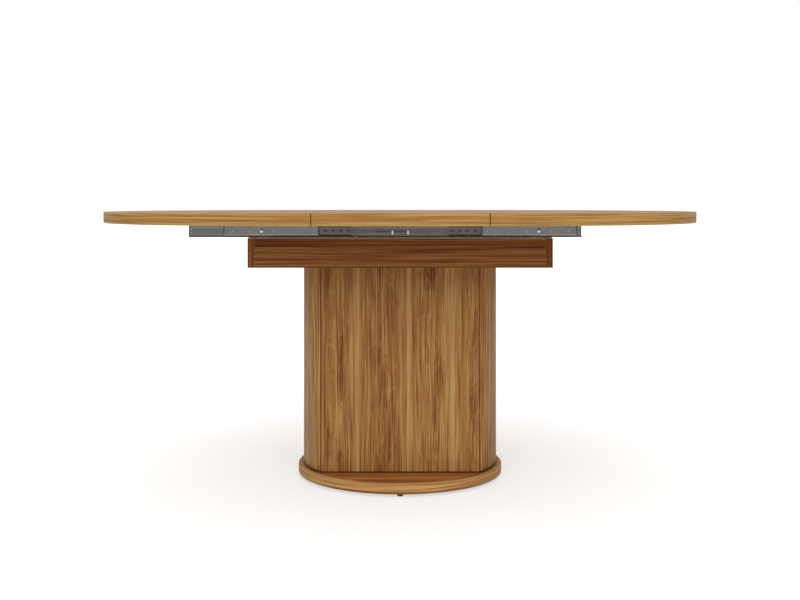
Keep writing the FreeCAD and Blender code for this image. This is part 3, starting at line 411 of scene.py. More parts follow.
@dataclass(frozen=True)
class WoodFinish:
    """Satin lacquered wood, built up from growth rings, broad bands, streaks and fibres."""

    name: str
    grain: Grain
    pale: Colour = tone(166, 133, 79)
    golden: Colour = tone(147, 106, 53)
    warm: Colour = tone(131, 82, 34)
    dark: Colour = tone(94, 42, 10)
    plank_width: float = 0.1296
    plank_middle: float = -0.0467
    wander: float = 0.02
    flames: float = 0.0
    sapwood: float = 0.0
    roughness: float = 0.5
    specular: float = 0.2
    broad_scale: float = 14.0
    streak_scale: float = 84.0
    contrast: float = 1.35
    run: float = 1.0
    ragged: float = 1.0
    seed: float = 0.0
    # Dark joint lines, and on some pieces painted shade and painted shadow.
    joints: Mask | None = field(default=None, compare=False)
    lights: Mask | None = field(default=None, compare=False)

    def material(self, shape: TableShape) -> bpy.types.Material:
        """Make the finish's node material.

        Streaks of four widths are noise drawn out along the grain, on a coordinate across it
        that wanders by a slow noise. Flames are dark lenses of noise near the middle of each
        plank, where the saw met the rings flat, with late wood where a multiple of that noise
        has a high fraction. Each plank's random share shifts its pattern.

        Args:
            shape: Sizes of the table.

        Returns:
            The material.
        """
        g = Graph(self.name)
        along, across, depth = self.grain.axes(g, shape)
        order = (across - self.plank_middle) / self.plank_width + 0.5
        plank = order.apply("FLOOR")
        share = g.chance(plank + self.seed + 31.7)
        local = (order.apply("FRACT") - 0.5) * self.plank_width
        along = along * self.run + share * 5.3 + self.seed
        inside = depth + share * 0.9
        place = (along, across, inside)

        drift = (g.noise(place, (2.8, 12.0, 12.0)) - 0.5) * self.wander
        bent = (along, across + drift, inside)
        width = self.streak_scale
        broad = g.noise(bent, (0.9, self.broad_scale, self.broad_scale))
        streak = g.noise(bent, (1.3, width, width), detail=3.0, roughness=0.6)
        torn = self.ragged
        line = g.noise(bent, (2.2 * torn, 2.7 * width, 2.7 * width), detail=2.0, roughness=0.66)
        fine = g.noise(bent, (4.0 * torn, 5.6 * width, 5.6 * width), detail=2.0, roughness=0.6)
        fibre = g.noise(place, (14.0, 640.0, 640.0), roughness=0.6)
        figure = broad * 0.09 + streak * 0.22 + line * 0.42 + fine * 0.27 - 0.5
        value = figure * self.contrast + share * 0.05 + 0.475
        if self.flames > 0.0:
            near = local.apply("ABSOLUTE").rise(0.054, 0.012)
            lens = g.noise(bent, (2.6 * torn, 26.0, 26.0), detail=2.0, roughness=0.45)
            ring = (lens * 11.0 + line * 0.8).apply("FRACT")
            late = ring.rise(0.2, 0.85) * ring.rise(1.0, 0.9)
            value = value + (lens.rise(0.47, 0.70) * 0.5 + late * 0.3 - 0.1) * near * self.flames
        stops = ((0.35, self.pale), (0.45, self.golden), (0.54, self.warm), (0.66, self.dark))
        colour = g.ramp(value, stops)
        glint = g.noise(bent, (1.6, 3.1 * width, 3.1 * width), detail=1.0).rise(0.64, 0.74)
        colour = g.blend(glint * 0.45, colour, self.pale)
        if self.sapwood > 0.0:
            middle = (across - self.plank_middle).apply("PINGPONG", self.plank_width)
            edge = self.plank_width / 2.0
            stripe = middle.rise(edge - 0.0004, edge + 0.0008) * middle.rise(edge + 0.017, edge + 0.005)
            fading = g.noise(place, (2.0, 30.0, 30.0), detail=2.0).rise(0.3, 0.56)
            colour = g.blend(stripe * fading * self.sapwood, colour, self.pale)
        pore = g.noise(place, (34.0, 760.0, 760.0), detail=1.0).rise(0.66, 0.74)
        colour = g.blend(pore * 0.35, colour, self.dark)
        # Pale marks; on the base band these are partly painted highlight.
        if self.lights is not None:
            colour = g.blend(self.lights(g), colour, self.pale)
        # Dark joint lines and painted shade, mixed towards one dark brown.
        if self.joints is not None:
            colour = g.blend(self.joints(g), colour, tone(62, 24, 2))
        gloss = fibre * 0.16 + streak * 0.10 + (self.roughness - 0.13)
        g.relief(fibre * 0.5 + streak * 0.3 - pore * 0.5, 0.25 * MILLIMETRE, 0.3)
        return g.surface(Base_Color=colour, Roughness=gloss, Specular_IOR_Level=self.specular)


# ---- Steel, plastic and brass ----------------------------------------------------------------


@dataclass(frozen=True)
class SteelFinish:
    """Rolled steel with fine streaks along X, patches of bloom, darker edges, painted shade and painted highlights.
    """

    name: str
    base: Colour
    shadow: Colour
    roughness: float = 0.42
    metallic: float = 0.85
    streaks: float = 0.5
    coat: float = 0.0
    # Colour of the painted highlights and painted light.
    light: Colour = tone(196, 194, 188)
    shadows: Mask | None = field(default=None, compare=False)
    lights: Mask | None = field(default=None, compare=False)

    def material(self) -> bpy.types.Material:
        """Make the finish's node material.

        Streaks are noise drawn out along X, and bloom is a coarse noise that dulls the zinc.
        The masks darken edges, paint shade into gaps, grooves and hollows, and paint highlights on lit edges and
        light on ends that lie out of shade.

        Returns:
            The material.
        """
        g = Graph(self.name)
        place = g.position()
        streak = g.noise(place, (7.0, 900.0, 900.0), detail=3.0, roughness=0.6)
        bloom = g.noise(place, (28.0, 60.0, 60.0), detail=4.0, roughness=0.65, distortion=0.4)
        speck = g.noise(place, (420.0, 420.0, 420.0), detail=2.0).rise(0.62, 0.72)
        share = ((streak - 0.5) * self.streaks + (bloom - 0.5) * 1.1 + 0.5).apply("MAXIMUM", 0.0)
        colour = g.blend(share.apply("MINIMUM", 1.0), self.shadow, self.base)
        colour = g.blend(speck * 0.25, colour, self.shadow)
        # Painted highlights and painted light.
        if self.lights is not None:
            colour = g.blend(self.lights(g), colour, self.light)
        # Painted shade and darker edges, towards near black.
        if self.shadows is not None:
            colour = g.blend(self.shadows(g), colour, tone(30, 30, 31))
        rough = (bloom - 0.5) * 0.3 + (streak - 0.5) * 0.15 + self.roughness
        g.relief(streak * 0.6 + bloom * 0.4, 0.06 * MILLIMETRE, 0.25)
        return g.surface(Base_Color=colour, Roughness=rough, Metallic=self.metallic, Coat_Weight=self.coat)


@dataclass(frozen=True)
class MouldedFinish:
    """Moulded plastic with a fine spark-eroded texture and scuffs."""

    name: str
    base: Colour
    scuff: Colour
    roughness: float = 0.55

    def material(self) -> bpy.types.Material:
        """Make the node material: even colour, fine bumps, and scuffs from a coarse noise."""
        g = Graph(self.name)
        place = g.position()
        fine = g.noise(place, (1500.0, 1500.0, 1500.0), detail=1.0)
        rubbed = g.noise(place, (130.0, 130.0, 130.0), detail=4.0, roughness=0.7).rise(0.55, 0.75)
        colour = g.blend(rubbed * 0.5, self.base, self.scuff)
        g.relief(fine, 0.03 * MILLIMETRE, 0.3)
        return g.surface(Base_Color=colour, Roughness=rubbed * 0.15 + self.roughness)


# ---- Fittings --------------------------------------------------------------------------------


class Recess(Enum):
    """Drive pressed into a head."""

    CROSS = "cross"
    PLAIN = "plain"


@dataclass(frozen=True)
class DomedHead:
    """Domed head of a screw or rivet, as a height over a disc of radius and angle."""

    radius: float
    height: float
    recess: Recess = Recess.PLAIN
    turns: int = 40
    rings: int = 12

    def surface(self) -> tuple[np.ndarray, np.ndarray]:
        """Points of the dome, with its foot at height 0.

        The height is the top times the square root of 1 less the squared radius, so that the
        dome meets its seat upright. A cross recess lowers it where either of the two ways
        across is narrow, and fades out towards the rim.

        Returns:
            Points of the grid, rings by turns by 3, and the point at the pole.
        """
        rho = np.sin(np.linspace(0.0, math.pi / 2.0, self.rings + 1))[1:, None]
        angle = np.linspace(0.0, 2.0 * math.pi, self.turns, endpoint=False)[None, :]
        x = self.radius * rho * np.cos(angle)
        y = self.radius * rho * np.sin(angle)
        rise = self.height * np.sqrt(np.clip(1.0 - rho**2, 0.0, 1.0)) * np.ones_like(angle)
        sink = 0.0
        if self.recess is Recess.CROSS:
            narrow = np.minimum(np.abs(x), np.abs(y)) / (0.16 * self.radius)
            reach = np.clip((0.62 - rho) / 0.12, 0.0, 1.0)
            rise = rise - 0.75 * self.height * np.clip(1.6 - narrow, 0.0, 1.0) * reach
            sink = 0.75 * self.height
        points = np.stack([x, y, np.maximum(rise, 0.02 * self.height)], axis=-1)
        points[-1, :, 2] = 0.0
        return points, np.array([0.0, 0.0, self.height - sink])


def surface_mesh(name: str, points: np.ndarray, faces: np.ndarray) -> bpy.types.Object:
    """Make a mesh object of triangles and quads.

    Args:
        name: Name of the piece.
        points: Points, count by 3, in metres.
        faces: Faces as rows of point numbers; a row of three ends with a repeat of its last.

    Returns:
        The object, with smooth faces.
    """
    mesh = bpy.data.meshes.new(name)
    rows = [tuple(dict.fromkeys(row)) for row in faces.tolist()]
    mesh.from_pydata(points.tolist(), [], rows)
    mesh.validate()
    mesh.polygons.foreach_set("use_smooth", np.ones(len(mesh.polygons), dtype=bool))
    mesh.update()
    thing = bpy.data.objects.new(name, mesh)
    bpy.context.scene.collection.objects.link(thing)
    return thing


def dome_faces(rings: int, turns: int) -> np.ndarray:
    """Faces of one dome: quads between its rings, triangles at the pole, and its flat foot.

    Args:
        rings: Number of rings.
        turns: Points on each ring; the pole's point follows the rings, the foot's follows it.

    Returns:
        Face rows of four, with a repeat in each triangle.
    """
    ring = np.arange(rings - 1)[:, None] * turns
    here = np.arange(turns)[None, :]
    after = (here + 1) % turns
    quads = np.stack([ring + here, ring + turns + here, ring + turns + after, ring + after], axis=-1)
    pole = rings * turns
    spin = np.arange(turns)
    follow = (spin + 1) % turns
    cap = np.stack([np.full(turns, pole), spin, follow, follow], axis=-1)
    last = (rings - 1) * turns
    foot = np.stack([np.full(turns, pole + 1), last + follow, last + spin, last + spin], axis=-1)
    return np.concatenate([quads.reshape(-1, 4), cap, foot])


@dataclass(frozen=True)
class Seat:
    """Place of a head: its centre, the way that it faces, and a turn about that way."""

    centre: tuple[float, float, float]
    facing: tuple[float, float, float]
    turn: float = 0.0

    def frame(self) -> np.ndarray:
        """Rows of the turned X, Y and Z ways of a head that sits here."""
        out = np.array(self.facing, dtype=float)
        helper = np.array((1.0, 0.0, 0.0)) if abs(out[0]) < 0.9 else np.array((0.0, 1.0, 0.0))
        first = np.cross(helper, out)
        first /= np.linalg.norm(first)
        second = np.cross(out, first)
        swing = math.cos(self.turn) * first + math.sin(self.turn) * second
        return np.stack([swing, np.cross(out, swing), out])


def heads_piece(name: str, head: DomedHead, seats: Sequence[Seat]) -> bpy.types.Object:
    """One piece of many equal heads.

    Args:
        name: Name of the piece.
        head: Shape of the heads.
        seats: Their places.

    Returns:
        The object.
    """
    grid, pole = head.surface()
    local = np.concatenate([grid.reshape(-1, 3), pole[None, :], np.zeros((1, 3))])
    faces = dome_faces(head.rings, head.turns)
    points = [local @ seat.frame() + np.array(seat.centre) for seat in seats]
    rows = [faces + number * len(local) for number in range(len(seats))]
    return surface_mesh(name, np.concatenate(points), np.concatenate(rows))


@dataclass(frozen=True)
class HoleRim:
    """Rounded rim pressed round a hole, as a torus of two angles."""

    radius: float
    tube: float
    turns: int = 28
    sides: int = 8

    def surface(self) -> np.ndarray:
        """Points of the torus, its middle level with the surface that it sits on.

        The distance from the hole's middle is the radius plus the tube times the cosine of the
        second angle, and the height is the tube times its sine.

        Returns:
            Points, turns by sides by 3.
        """
        around = np.linspace(0.0, 2.0 * math.pi, self.turns, endpoint=False)[:, None]
        across = np.linspace(0.0, 2.0 * math.pi, self.sides, endpoint=False)[None, :]
        reach = self.radius + self.tube * np.cos(across)
        height = self.tube * np.sin(across) * np.ones_like(around)
        return np.stack([reach * np.cos(around), reach * np.sin(around), height], axis=-1)


def rims_piece(name: str, rim: HoleRim, seats: Sequence[Seat]) -> bpy.types.Object:
    """One piece of many equal rims.

    Args:
        name: Name of the piece.
        rim: Shape of the rims.
        seats: Their places.

    Returns:
        The object.
    """
    local = rim.surface().reshape(-1, 3)
    turn = np.arange(rim.turns)[:, None]
    side = np.arange(rim.sides)[None, :]
    next_turn = (turn + 1) % rim.turns
    next_side = (side + 1) % rim.sides
    corners = [(turn, side), (next_turn, side), (next_turn, next_side), (turn, next_side)]
    faces = np.stack([a * rim.sides + b for a, b in corners], axis=-1).reshape(-1, 4)
    points = [local @ seat.frame() + np.array(seat.centre) for seat in seats]
    rows = [faces + number * len(local) for number in range(len(seats))]
    return surface_mesh(name, np.concatenate(points), np.concatenate(rows))


# ---- Sub-assemblies --------------------------------------------------------------------------

SIDES = {"left": -1.0, "right": 1.0}
WAYS = (-1.0, 1.0)


def fit(thing: bpy.types.Object, body: str, material: bpy.types.Material) -> None:
    """Put a new piece on its body and give it its finish.

    Args:
        thing: The piece.
        body: Name of the body that it rides on.
        material: Its material.
    """
    thing.data.materials.append(material)
    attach(thing, body)
    LOG.info("%s: fitted on %s", thing.name, body)


def dress(nodes: dict[str, bpy.types.Object], names: Sequence[str], material: bpy.types.Material) -> None:
    """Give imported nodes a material.

    Args:
        nodes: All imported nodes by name.
        names: Names of the nodes to dress.
        material: Their material.
    """
    for name in names:
        thing = nodes[name]
        if not thing.material_slots:
            thing.data.materials.append(material)
        for slot in thing.material_slots:
            slot.material = material
        LOG.info("%s: dressed in %s", name, material.name)


def ease_edges(nodes: dict[str, bpy.types.Object], names: Sequence[str], width: float) -> None:
    """Ease the sharp edges of packed boards.

    Args:
        nodes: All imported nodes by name.
        names: Names of the boards.
        width: Width of the easing in metres.
    """
    for name in names:
        weld = nodes[name].modifiers.new("weld", "WELD")
        weld.merge_threshold = 0.00001
        bevel = nodes[name].modifiers.new("eased", "BEVEL")
        bevel.width = width
        bevel.segments = 2
        bevel.limit_method = "ANGLE"
        bevel.angle_limit = math.radians(38.0)


@dataclass
class Top:
    """Two half tops and the folding leaf, each with its solid edge band."""

    shape: TableShape
    nodes: dict[str, bpy.types.Object]
    cores: Sequence[str] = ("half_top_left", "half_top_right", "leaf_front_panel", "leaf_back_panel")
    bands: Sequence[str] = (
        "edge_band_left", "edge_band_right", "leaf_front_edge_band", "leaf_back_edge_band"
    )

    def build(self) -> None:
        """Dress the veneered faces and the bands."""
        veneer = WoodFinish(
            "top_veneer", Grain.TOP, sapwood=0.4, flames=0.10, seed=3.0, specular=0.42,
            joints=self.core_joints,
        )
        dress(self.nodes, self.cores, veneer.material(self.shape))
        band = WoodFinish(
            "top_band", Grain.RIM, seed=30.0, joints=self.seams, lights=self.low_edge, wander=0.004, plank_width=0.5,
            broad_scale=50.0, streak_scale=110.0, contrast=1.6, specular=0.15, run=1.4,
            pale=tone(170, 139, 86), golden=tone(155, 118, 63), warm=tone(139, 97, 44), dark=tone(113, 70, 27),
        )
        dress(self.nodes, self.bands, band.material(self.shape))

    def seams(self, graph: Graph) -> Signal:
        """Dark eased edges where the leaf meets the half tops, but not their cut faces."""
        x = graph.position()[0].apply("ABSOLUTE")
        outside = graph.facing()[0].apply("ABSOLUTE").rise(0.8, 0.6)
        return (x - self.shape.half_leaf).apply("ABSOLUTE").rise(0.0016, 0.0008) * outside

    def low_edge(self, graph: Graph) -> Signal:
        """Paler eased lower edge of the bands."""
        z = graph.position()[2]
        return z.rise(self.shape.underside + 0.0065, self.shape.underside + 0.003) * 0.3

    def core_joints(self, graph: Graph) -> Signal:
        """The seams, the leaf's fold line, and the thin glue line along the edge band."""
        x, y, _ = graph.position()
        away = x.apply("ABSOLUTE") - self.shape.half_leaf
        beyond = away.apply("MAXIMUM", 0.0)
        reach = (beyond * beyond + y * y).apply("SQRT")
        glue = (reach - self.shape.band_inner).apply("ABSOLUTE").rise(0.0008, 0.0003) * 0.6
        fold = y.apply("ABSOLUTE").rise(0.0012, 0.0006) * away.rise(0.0002, -0.0002) * 0.85
        return glue.apply("MAXIMUM", fold).apply("MAXIMUM", self.seams(graph))


@dataclass
class Pedestal:
    """Drum of two flat panels and two curved shells on a round base."""

    shape: TableShape
    nodes: dict[str, bpy.types.Object]

    def build(self) -> None:
        """Dress the panels, shells, plates, base, band and glides."""
        panel = WoodFinish(
            "pedestal_panel", Grain.PANEL, sapwood=0.9, flames=0.2, wander=0.02, ragged=2.4,
            streak_scale=112.0, contrast=1.3, joints=self.joint_lines_and_painted_shade,
        )
        dress(self.nodes, ("pedestal_front_panel", "pedestal_back_panel"), panel.material(self.shape))
        shell = WoodFinish(
            "pedestal_shell", Grain.SHELL, sapwood=0.5, flames=0.06, seed=2.0, specular=0.1,
            streak_scale=112.0, contrast=1.9, ragged=2.4, joints=self.joint_lines_and_painted_shade,
            pale=tone(174, 140, 86), golden=tone(155, 111, 57), warm=tone(138, 87, 37), dark=tone(102, 49, 13),
        )
        dress(self.nodes, ("pedestal_left_shell", "pedestal_right_shell"), shell.material(self.shape))
        disc = WoodFinish(
            "base_veneer", Grain.TOP, seed=5.0, wander=0.01, broad_scale=18.0, streak_scale=38.0, contrast=2.2,
            pale=tone(190, 138, 78), golden=tone(167, 108, 49), warm=tone(144, 84, 31), dark=tone(106, 54, 14),
        )
        dress(self.nodes, ("base_disc",), disc.material(self.shape))
        band = WoodFinish(
            "base_band", Grain.RING, seed=4.0, lights=self.upper_rim_streak_and_highlight, joints=self.rim_lines_and_painted_shade, wander=0.004, plank_width=0.5,
            broad_scale=60.0, streak_scale=120.0, contrast=2.3, specular=0.12, run=1.6,
            pale=tone(184, 147, 94), golden=tone(166, 125, 74), warm=tone(148, 102, 54), dark=tone(116, 69, 30),
        )
        dress(self.nodes, ("base_edge_band",), band.material(self.shape))
        ply = WoodFinish(
            "birch_plywood", Grain.TOP, seed=6.0, wander=0.02,
            pale=tone(222, 200, 160), golden=tone(206, 180, 138), warm=tone(190, 160, 118),
            dark=tone(168, 136, 96), roughness=0.6,
        )
        names = ("pedestal_bottom_plate", "pedestal_top_plate", "box_floor", "box_dowels")
        dress(self.nodes, names, ply.material(self.shape))
        pad = MouldedFinish("glide_plastic", tone(38, 34, 30), tone(70, 64, 58))
        dress(self.nodes, ("floor_glides",), pad.material())
        shells = ("pedestal_left_shell", "pedestal_right_shell")
        ease_edges(self.nodes, ("pedestal_front_panel", "pedestal_back_panel", *shells), 0.0007)

    def joint_lines_and_painted_shade(self, graph: Graph) -> Signal:
        """Dark lines along the mitred corners, a dark line on the base that is partly glue line and partly painted
        contact shadow, and a painted soft shadow under the box.
        """
        x, y, z = graph.position()
        inward = (y.apply("ABSOLUTE") - self.shape.pedestal_face).apply("ABSOLUTE")
        sideways = (x.apply("ABSOLUTE") - self.shape.corner).apply("ABSOLUTE")
        near = (inward * inward + sideways * sideways).apply("SQRT").rise(0.0015, 0.0009)
        # Glue line and painted contact shadow where the pedestal stands on its base.
        foot = (z - self.shape.base_top).rise(0.0052, 0.0030)
        # Painted shadow that the box casts, fading downwards.
        shade = (z - self.shape.box_bottom).rise(-0.130, -0.010) * 0.2
        return near.apply("MAXIMUM", foot).apply("MAXIMUM", shade)

    def upper_rim_streak_and_highlight(self, graph: Graph) -> Signal:
        """Paler upper half of the base's edge band, partly a pale grain streak and partly painted highlight."""
        z = graph.position()[2]
        return z.rise(self.shape.base_top - 0.017, self.shape.base_top - 0.012) * 0.1

    def rim_lines_and_painted_shade(self, graph: Graph) -> Signal:
        """Dark glue line round the disc, painted shadow along the eased upper edge of the band, and painted shade
        along its lower edge.
        """
        x, y, z = graph.position()
        radius = (x * x + y * y).apply("SQRT")
        glue = (radius - self.shape.disc_radius).rise(0.0045, 0.0015) * 0.55
        outer = radius.rise(self.shape.base_radius - 0.0015, self.shape.base_radius - 0.0006)
        # Painted shadow of the eased upper edge.
        eased = (z - self.shape.base_top + 0.0012).apply("ABSOLUTE").rise(0.0024, 0.001) * outer * 0.45
        # Painted shade along the lower edge.
        lower = z.rise(self.shape.base_bottom + 0.0070, self.shape.base_bottom + 0.0044) * 0.6
        return glue.apply("MAXIMUM", eased).apply("MAXIMUM", lower)


@dataclass
class StorageBox:
    """Box under the top that takes the folded leaf."""

    shape: TableShape
    nodes: dict[str, bpy.types.Object]

    def build(self) -> None:
        """Dress the boards and ease their edges."""
        reddish = {
            "pale": tone(138, 94, 49), "golden": tone(121, 73, 30), "warm": tone(107, 57, 17),
            "dark": tone(77, 34, 8), "plank_width": 0.4, "wander": 0.004, "broad_scale": 40.0,
            "streak_scale": 100.0, "contrast": 2.15, "specular": 0.1, "run": 1.0,
        }
        board = WoodFinish("box_board", Grain.BOARD, seed=7.0, joints=self.low_edge, **reddish)
        end = WoodFinish(
            "box_end_board", Grain.END_BOARD, seed=8.0, lights=self.lipping, joints=self.outer_edge_painted_shade,
            **(reddish | {"contrast": 1.4}),
        )
        long_boards = ("box_front_board", "box_back_board")
        end_boards = ("box_left_end_board", "box_right_end_board")
        dress(self.nodes, long_boards, board.material(self.shape))
        dress(self.nodes, end_boards, end.material(self.shape))
        ease_edges(self.nodes, long_boards + end_boards, 0.0006)

    def low_edge(self, graph: Graph) -> Signal:
        """Darker line along the lower edge of the boards."""
        z = graph.position()[2]
        return z.rise(self.shape.box_bottom + 0.0022, self.shape.box_bottom + 0.001) * 0.6

    def lipping(self, graph: Graph) -> Signal:
        """Pale glue line of the lipping beside the long boards."""
        x = graph.position()[0].apply("ABSOLUTE")
        return (x - self.shape.board_end).rise(0.0024, 0.0012) * 0.35

    def outer_edge_painted_shade(self, graph: Graph) -> Signal:
        """Painted shade on the rounded outer edge of the end boards."""
        x = graph.position()[0].apply("ABSOLUTE")
        return x.rise(self.shape.box_end - 0.0040, self.shape.box_end - 0.0020) * 0.8


@dataclass
class Slides:
    """Ball bearing slides, front and back, with their fixings."""

    shape: TableShape
    nodes: dict[str, bpy.types.Object]
    slide_centre: float = 0.7025
    runner_face: float = 0.3475
    rivet_top: float = 0.3486
    rivet_reach: float = 0.357
    dimple_reach: float = 0.371
    dimple_height: float = 0.6931
    hole_reach: Sequence[float] = (0.434, 0.3865, 0.326, 0.2225)
    screw_reach: Sequence[float] = (0.2405, 0.33275, 0.425)
    screw_line: float = 0.3565
    screw_top: float = 0.7173
    web_face: float = 0.3402
    stop_inset: float = 0.006
    stop_spread: float = 0.0042
    first_window: float = 0.133
    window_pitch: float = 0.020

    def named(self, *starts: str) -> list[str]:
        """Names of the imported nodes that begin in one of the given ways."""
        return [name for name in self.nodes if name.startswith(starts)]

    def build(self) -> None:
        """Dress rails, cages, balls and fixings, and add the pressed and domed details."""
        channel = SteelFinish(
            "channel_steel", tone(138, 136, 131), tone(98, 94, 88),
            # Colour of the painted light on the ends, and the masks of painted shade and painted light.
            light=tone(138, 143, 140), shadows=self.channel_edges_and_painted_shade, lights=self.channel_ends_painted_light,
        )
        runner = SteelFinish(
            "runner_steel", tone(146, 148, 146), tone(112, 114, 113),
            # Painted shade on the ends and a painted highlight on the lower edge.
            shadows=self.runner_ends_painted_shade, lights=self.runner_lip_highlight,
        )
        # Darker edges and painted shade round the windows.
        cage = SteelFinish("cage_steel", tone(132, 125, 119), tone(88, 82, 78), shadows=self.cage_edges_and_painted_shade)
        zinc = SteelFinish("zinc_steel", tone(230, 235, 236), tone(184, 188, 189), roughness=0.3)
        rivet = SteelFinish(
            "rivet_steel", tone(226, 230, 230), tone(192, 196, 196), roughness=0.3, shadows=self.rivet_tops
        )
        rim = SteelFinish("rim_steel", tone(216, 220, 219), tone(176, 180, 179), roughness=0.3)
        stud = SteelFinish(
            "stud_steel", tone(246, 245, 240), tone(214, 212, 206), roughness=0.3, shadows=self.stud_tops
        )
        ball = SteelFinish("ball_steel", tone(222, 222, 220), tone(190, 190, 188), roughness=0.16, metallic=1.0)
        angle = SteelFinish(
            "angle_steel", tone(150, 130, 114), tone(112, 94, 82), metallic=0.1, roughness=0.5,
            # Colour and mask of the painted highlight on the front edge.
            light=tone(240, 218, 198), lights=self.angle_edge_highlight,
        )
        rails = self.named("slide_channel", "fixed_rail_front", "fixed_rail_back")
        dress(self.nodes, rails, channel.material())
        runner_material = runner.material()
        dress(self.nodes, self.named("runner_front", "runner_back"), runner_material)
        dress(self.nodes, self.named("runner_cage", "fixed_rail_cage"), cage.material())
        zinc_material = zinc.material()
        fixings = self.named("fixed_rail_rivets", "runner_screws", "frame_screws", "pedestal_bolts")
        dress(self.nodes, fixings, zinc_material)
        dress(self.nodes, ("cage_stop_studs",), stud.material())
        dress(self.nodes, self.named("runner_balls"), ball.material())
        dress(self.nodes, self.named("support_angle"), angle.material())
        block = MouldedFinish("stop_block_plastic", tone(48, 48, 50), tone(84, 84, 84))
        dress(self.nodes, self.named("runner_stop_blocks"), block.material())
        fittings = {"zinc": zinc_material, "rivet": rivet.material(), "rim": rim.material()}
        for name, side in SIDES.items():
            self.fit_half(name, side, fittings)
        for name, way in {"front": -1.0, "back": 1.0}.items():
            self.fit_channel(name, way, zinc_material)

    def fit_channel(self, name: str, way: float, zinc: bpy.types.Material) -> None:
        """Add the pressed stops near both ends of a channel.

        Args:
            name: Name of the slide.
            way: -1 for the front slide, 1 for the back one.
            zinc: Finish of the stops.
        """
        low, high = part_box(f"slide_channel_{name}")
        seats = [
            Seat((x, way * self.web_face, self.slide_centre + rise), (0, way, 0))
            for x in (low[0] + self.stop_inset, high[0] - self.stop_inset)
            for rise in (-self.stop_spread, self.stop_spread)
        ]
        dots = heads_piece(f"channel_end_stops_{name}", DomedHead(0.0015, 0.0013, turns=24, rings=7), seats)
        fit(dots, f"channel_{name}", zinc)

    def fit_half(self, name: str, side: float, looks: dict[str, bpy.types.Material]) -> None:
        """Add the details of both runners of one half top.

        Args:
            name: Name of the side.
            side: -1 for left, 1 for right.
            looks: Finishes of the screws and dimples, the rivets and the rims.
        """
        zinc = looks["zinc"]
        rivets = [Seat((side * self.rivet_reach, y * self.rivet_top, self.slide_centre), (0, y, 0)) for y in WAYS]
        domes = heads_piece(f"stop_rivet_domes_{name}", DomedHead(0.0044, 0.0014), rivets)
        fit(domes, f"half_{name}", looks["rivet"])
        dimples = [
            Seat((side * self.dimple_reach, y * self.runner_face, self.dimple_height), (0, y, 0)) for y in WAYS
        ]
        fit(
            heads_piece(f"runner_lip_dimples_{name}", DomedHead(0.0014, 0.0007, turns=20, rings=6), dimples),
            f"half_{name}", zinc,
        )
        rims = [
            Seat((side * reach, y * self.runner_face, self.slide_centre), (0, y, 0))
            for y in WAYS for reach in self.hole_reach
        ]
        rings = rims_piece(f"runner_hole_rims_{name}", HoleRim(0.0025, 0.0008), rims)
        fit(rings, f"half_{name}", looks["rim"])
        screws = [
            Seat((side * reach, y * self.screw_line, self.screw_top), (0, 0, -1), turn=reach * 40.0)
            for y in WAYS for reach in self.screw_reach
        ]
        head = DomedHead(0.0037, 0.0014, Recess.CROSS)
        fit(heads_piece(f"runner_screw_heads_{name}", head, screws), f"half_{name}", zinc)

    def channel_edges_and_painted_shade(self, graph: Graph) -> Signal:
        """Painted shade on the channel's lower lip and in its two rolled grooves, its dark cut ends, a dark top
        edge, and painted shade on the web behind the cage's windows.
        """
        x, _, z = graph.position()
        low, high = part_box("slide_channel_front")
        reach = (x - (low[0] + high[0]) / 2.0).apply("ABSOLUTE")
        half = (high[0] - low[0]) / 2.0
        # Painted shade on the lower lip.
        lip = z.rise(low[2] + 0.0040, low[2] + 0.0030) * 0.6
        end = reach.rise(half - 0.003, half - 0.002) * 0.75
        off = ((z - self.slide_centre).apply("ABSOLUTE") - 0.0029).apply("ABSOLUTE")
        crown = z.rise(high[2] - 0.0015, high[2] - 0.0008) * 0.6
        away = x.apply("ABSOLUTE")
        # Painted shade on the web where it shows through the cage's windows.
        painted_web_shade = away.rise(0.100, 0.150) * away.rise(0.230, 0.190) * off.rise(0.0058, 0.0030) * 0.45
        # Painted shade in the rolled grooves.
        grooves = off.rise(0.0014, 0.0008) * 0.5
        return lip.apply("MAXIMUM", end).apply("MAXIMUM", grooves).apply("MAXIMUM", crown).apply("MAXIMUM", painted_web_shade)

    def channel_ends_painted_light(self, graph: Graph) -> Signal:
        """Painted light on the ends of the channels, which are paler than the shaded rest."""
        return graph.position()[0].apply("ABSOLUTE").rise(0.430, 0.455) * 0.8

    def runner_ends_painted_shade(self, graph: Graph) -> Signal:
        """Painted shadow in the gaps at the runners' cut ends and beside the upper part of their outer ends, and
        painted shade in the hollow over each stop rivet.
        """
        x, y, z = graph.position()
        x = x.apply("ABSOLUTE")
        # Painted shadow in the gap beside the upper part of the outer end.
        upper = x.rise(0.4520, 0.4530) * z.rise(self.slide_centre - 0.0005, self.slide_centre + 0.0005)
        ends = x.rise(0.4534, 0.4542).apply("MAXIMUM", x.rise(0.2124, 0.2115)).apply("MAXIMUM", upper) * 0.8
        side = x - self.rivet_reach
        over = z - self.slide_centre - 0.0046
        # Painted shade in the hollow over the stop rivet.
        hollow = (side * side * 0.35 + over * over).apply("SQRT").rise(0.0034, 0.0012) * 0.6
        return ends.apply("MAXIMUM", hollow)

    def runner_lip_highlight(self, graph: Graph) -> Signal:
        """Painted highlight on the rounded lower edge of the runners."""
        return graph.position()[2].rise(0.6936, 0.6926) * 0.75

    def cage_edges_and_painted_shade(self, graph: Graph) -> Signal:
        """Darker top and bottom edges of the cages, and painted shade round their windows.

        The windows follow each other at one pitch, so that the distance to the nearest is the
        distance from the first one, folded at half the pitch.
        """
        x, _, z = graph.position()
        z = z - self.slide_centre
        edges = z.apply("ABSOLUTE").rise(0.0088, 0.0106) * 0.8
        along = x.apply("ABSOLUTE") - self.first_window
        near = along.apply("PINGPONG", self.window_pitch / 2.0)
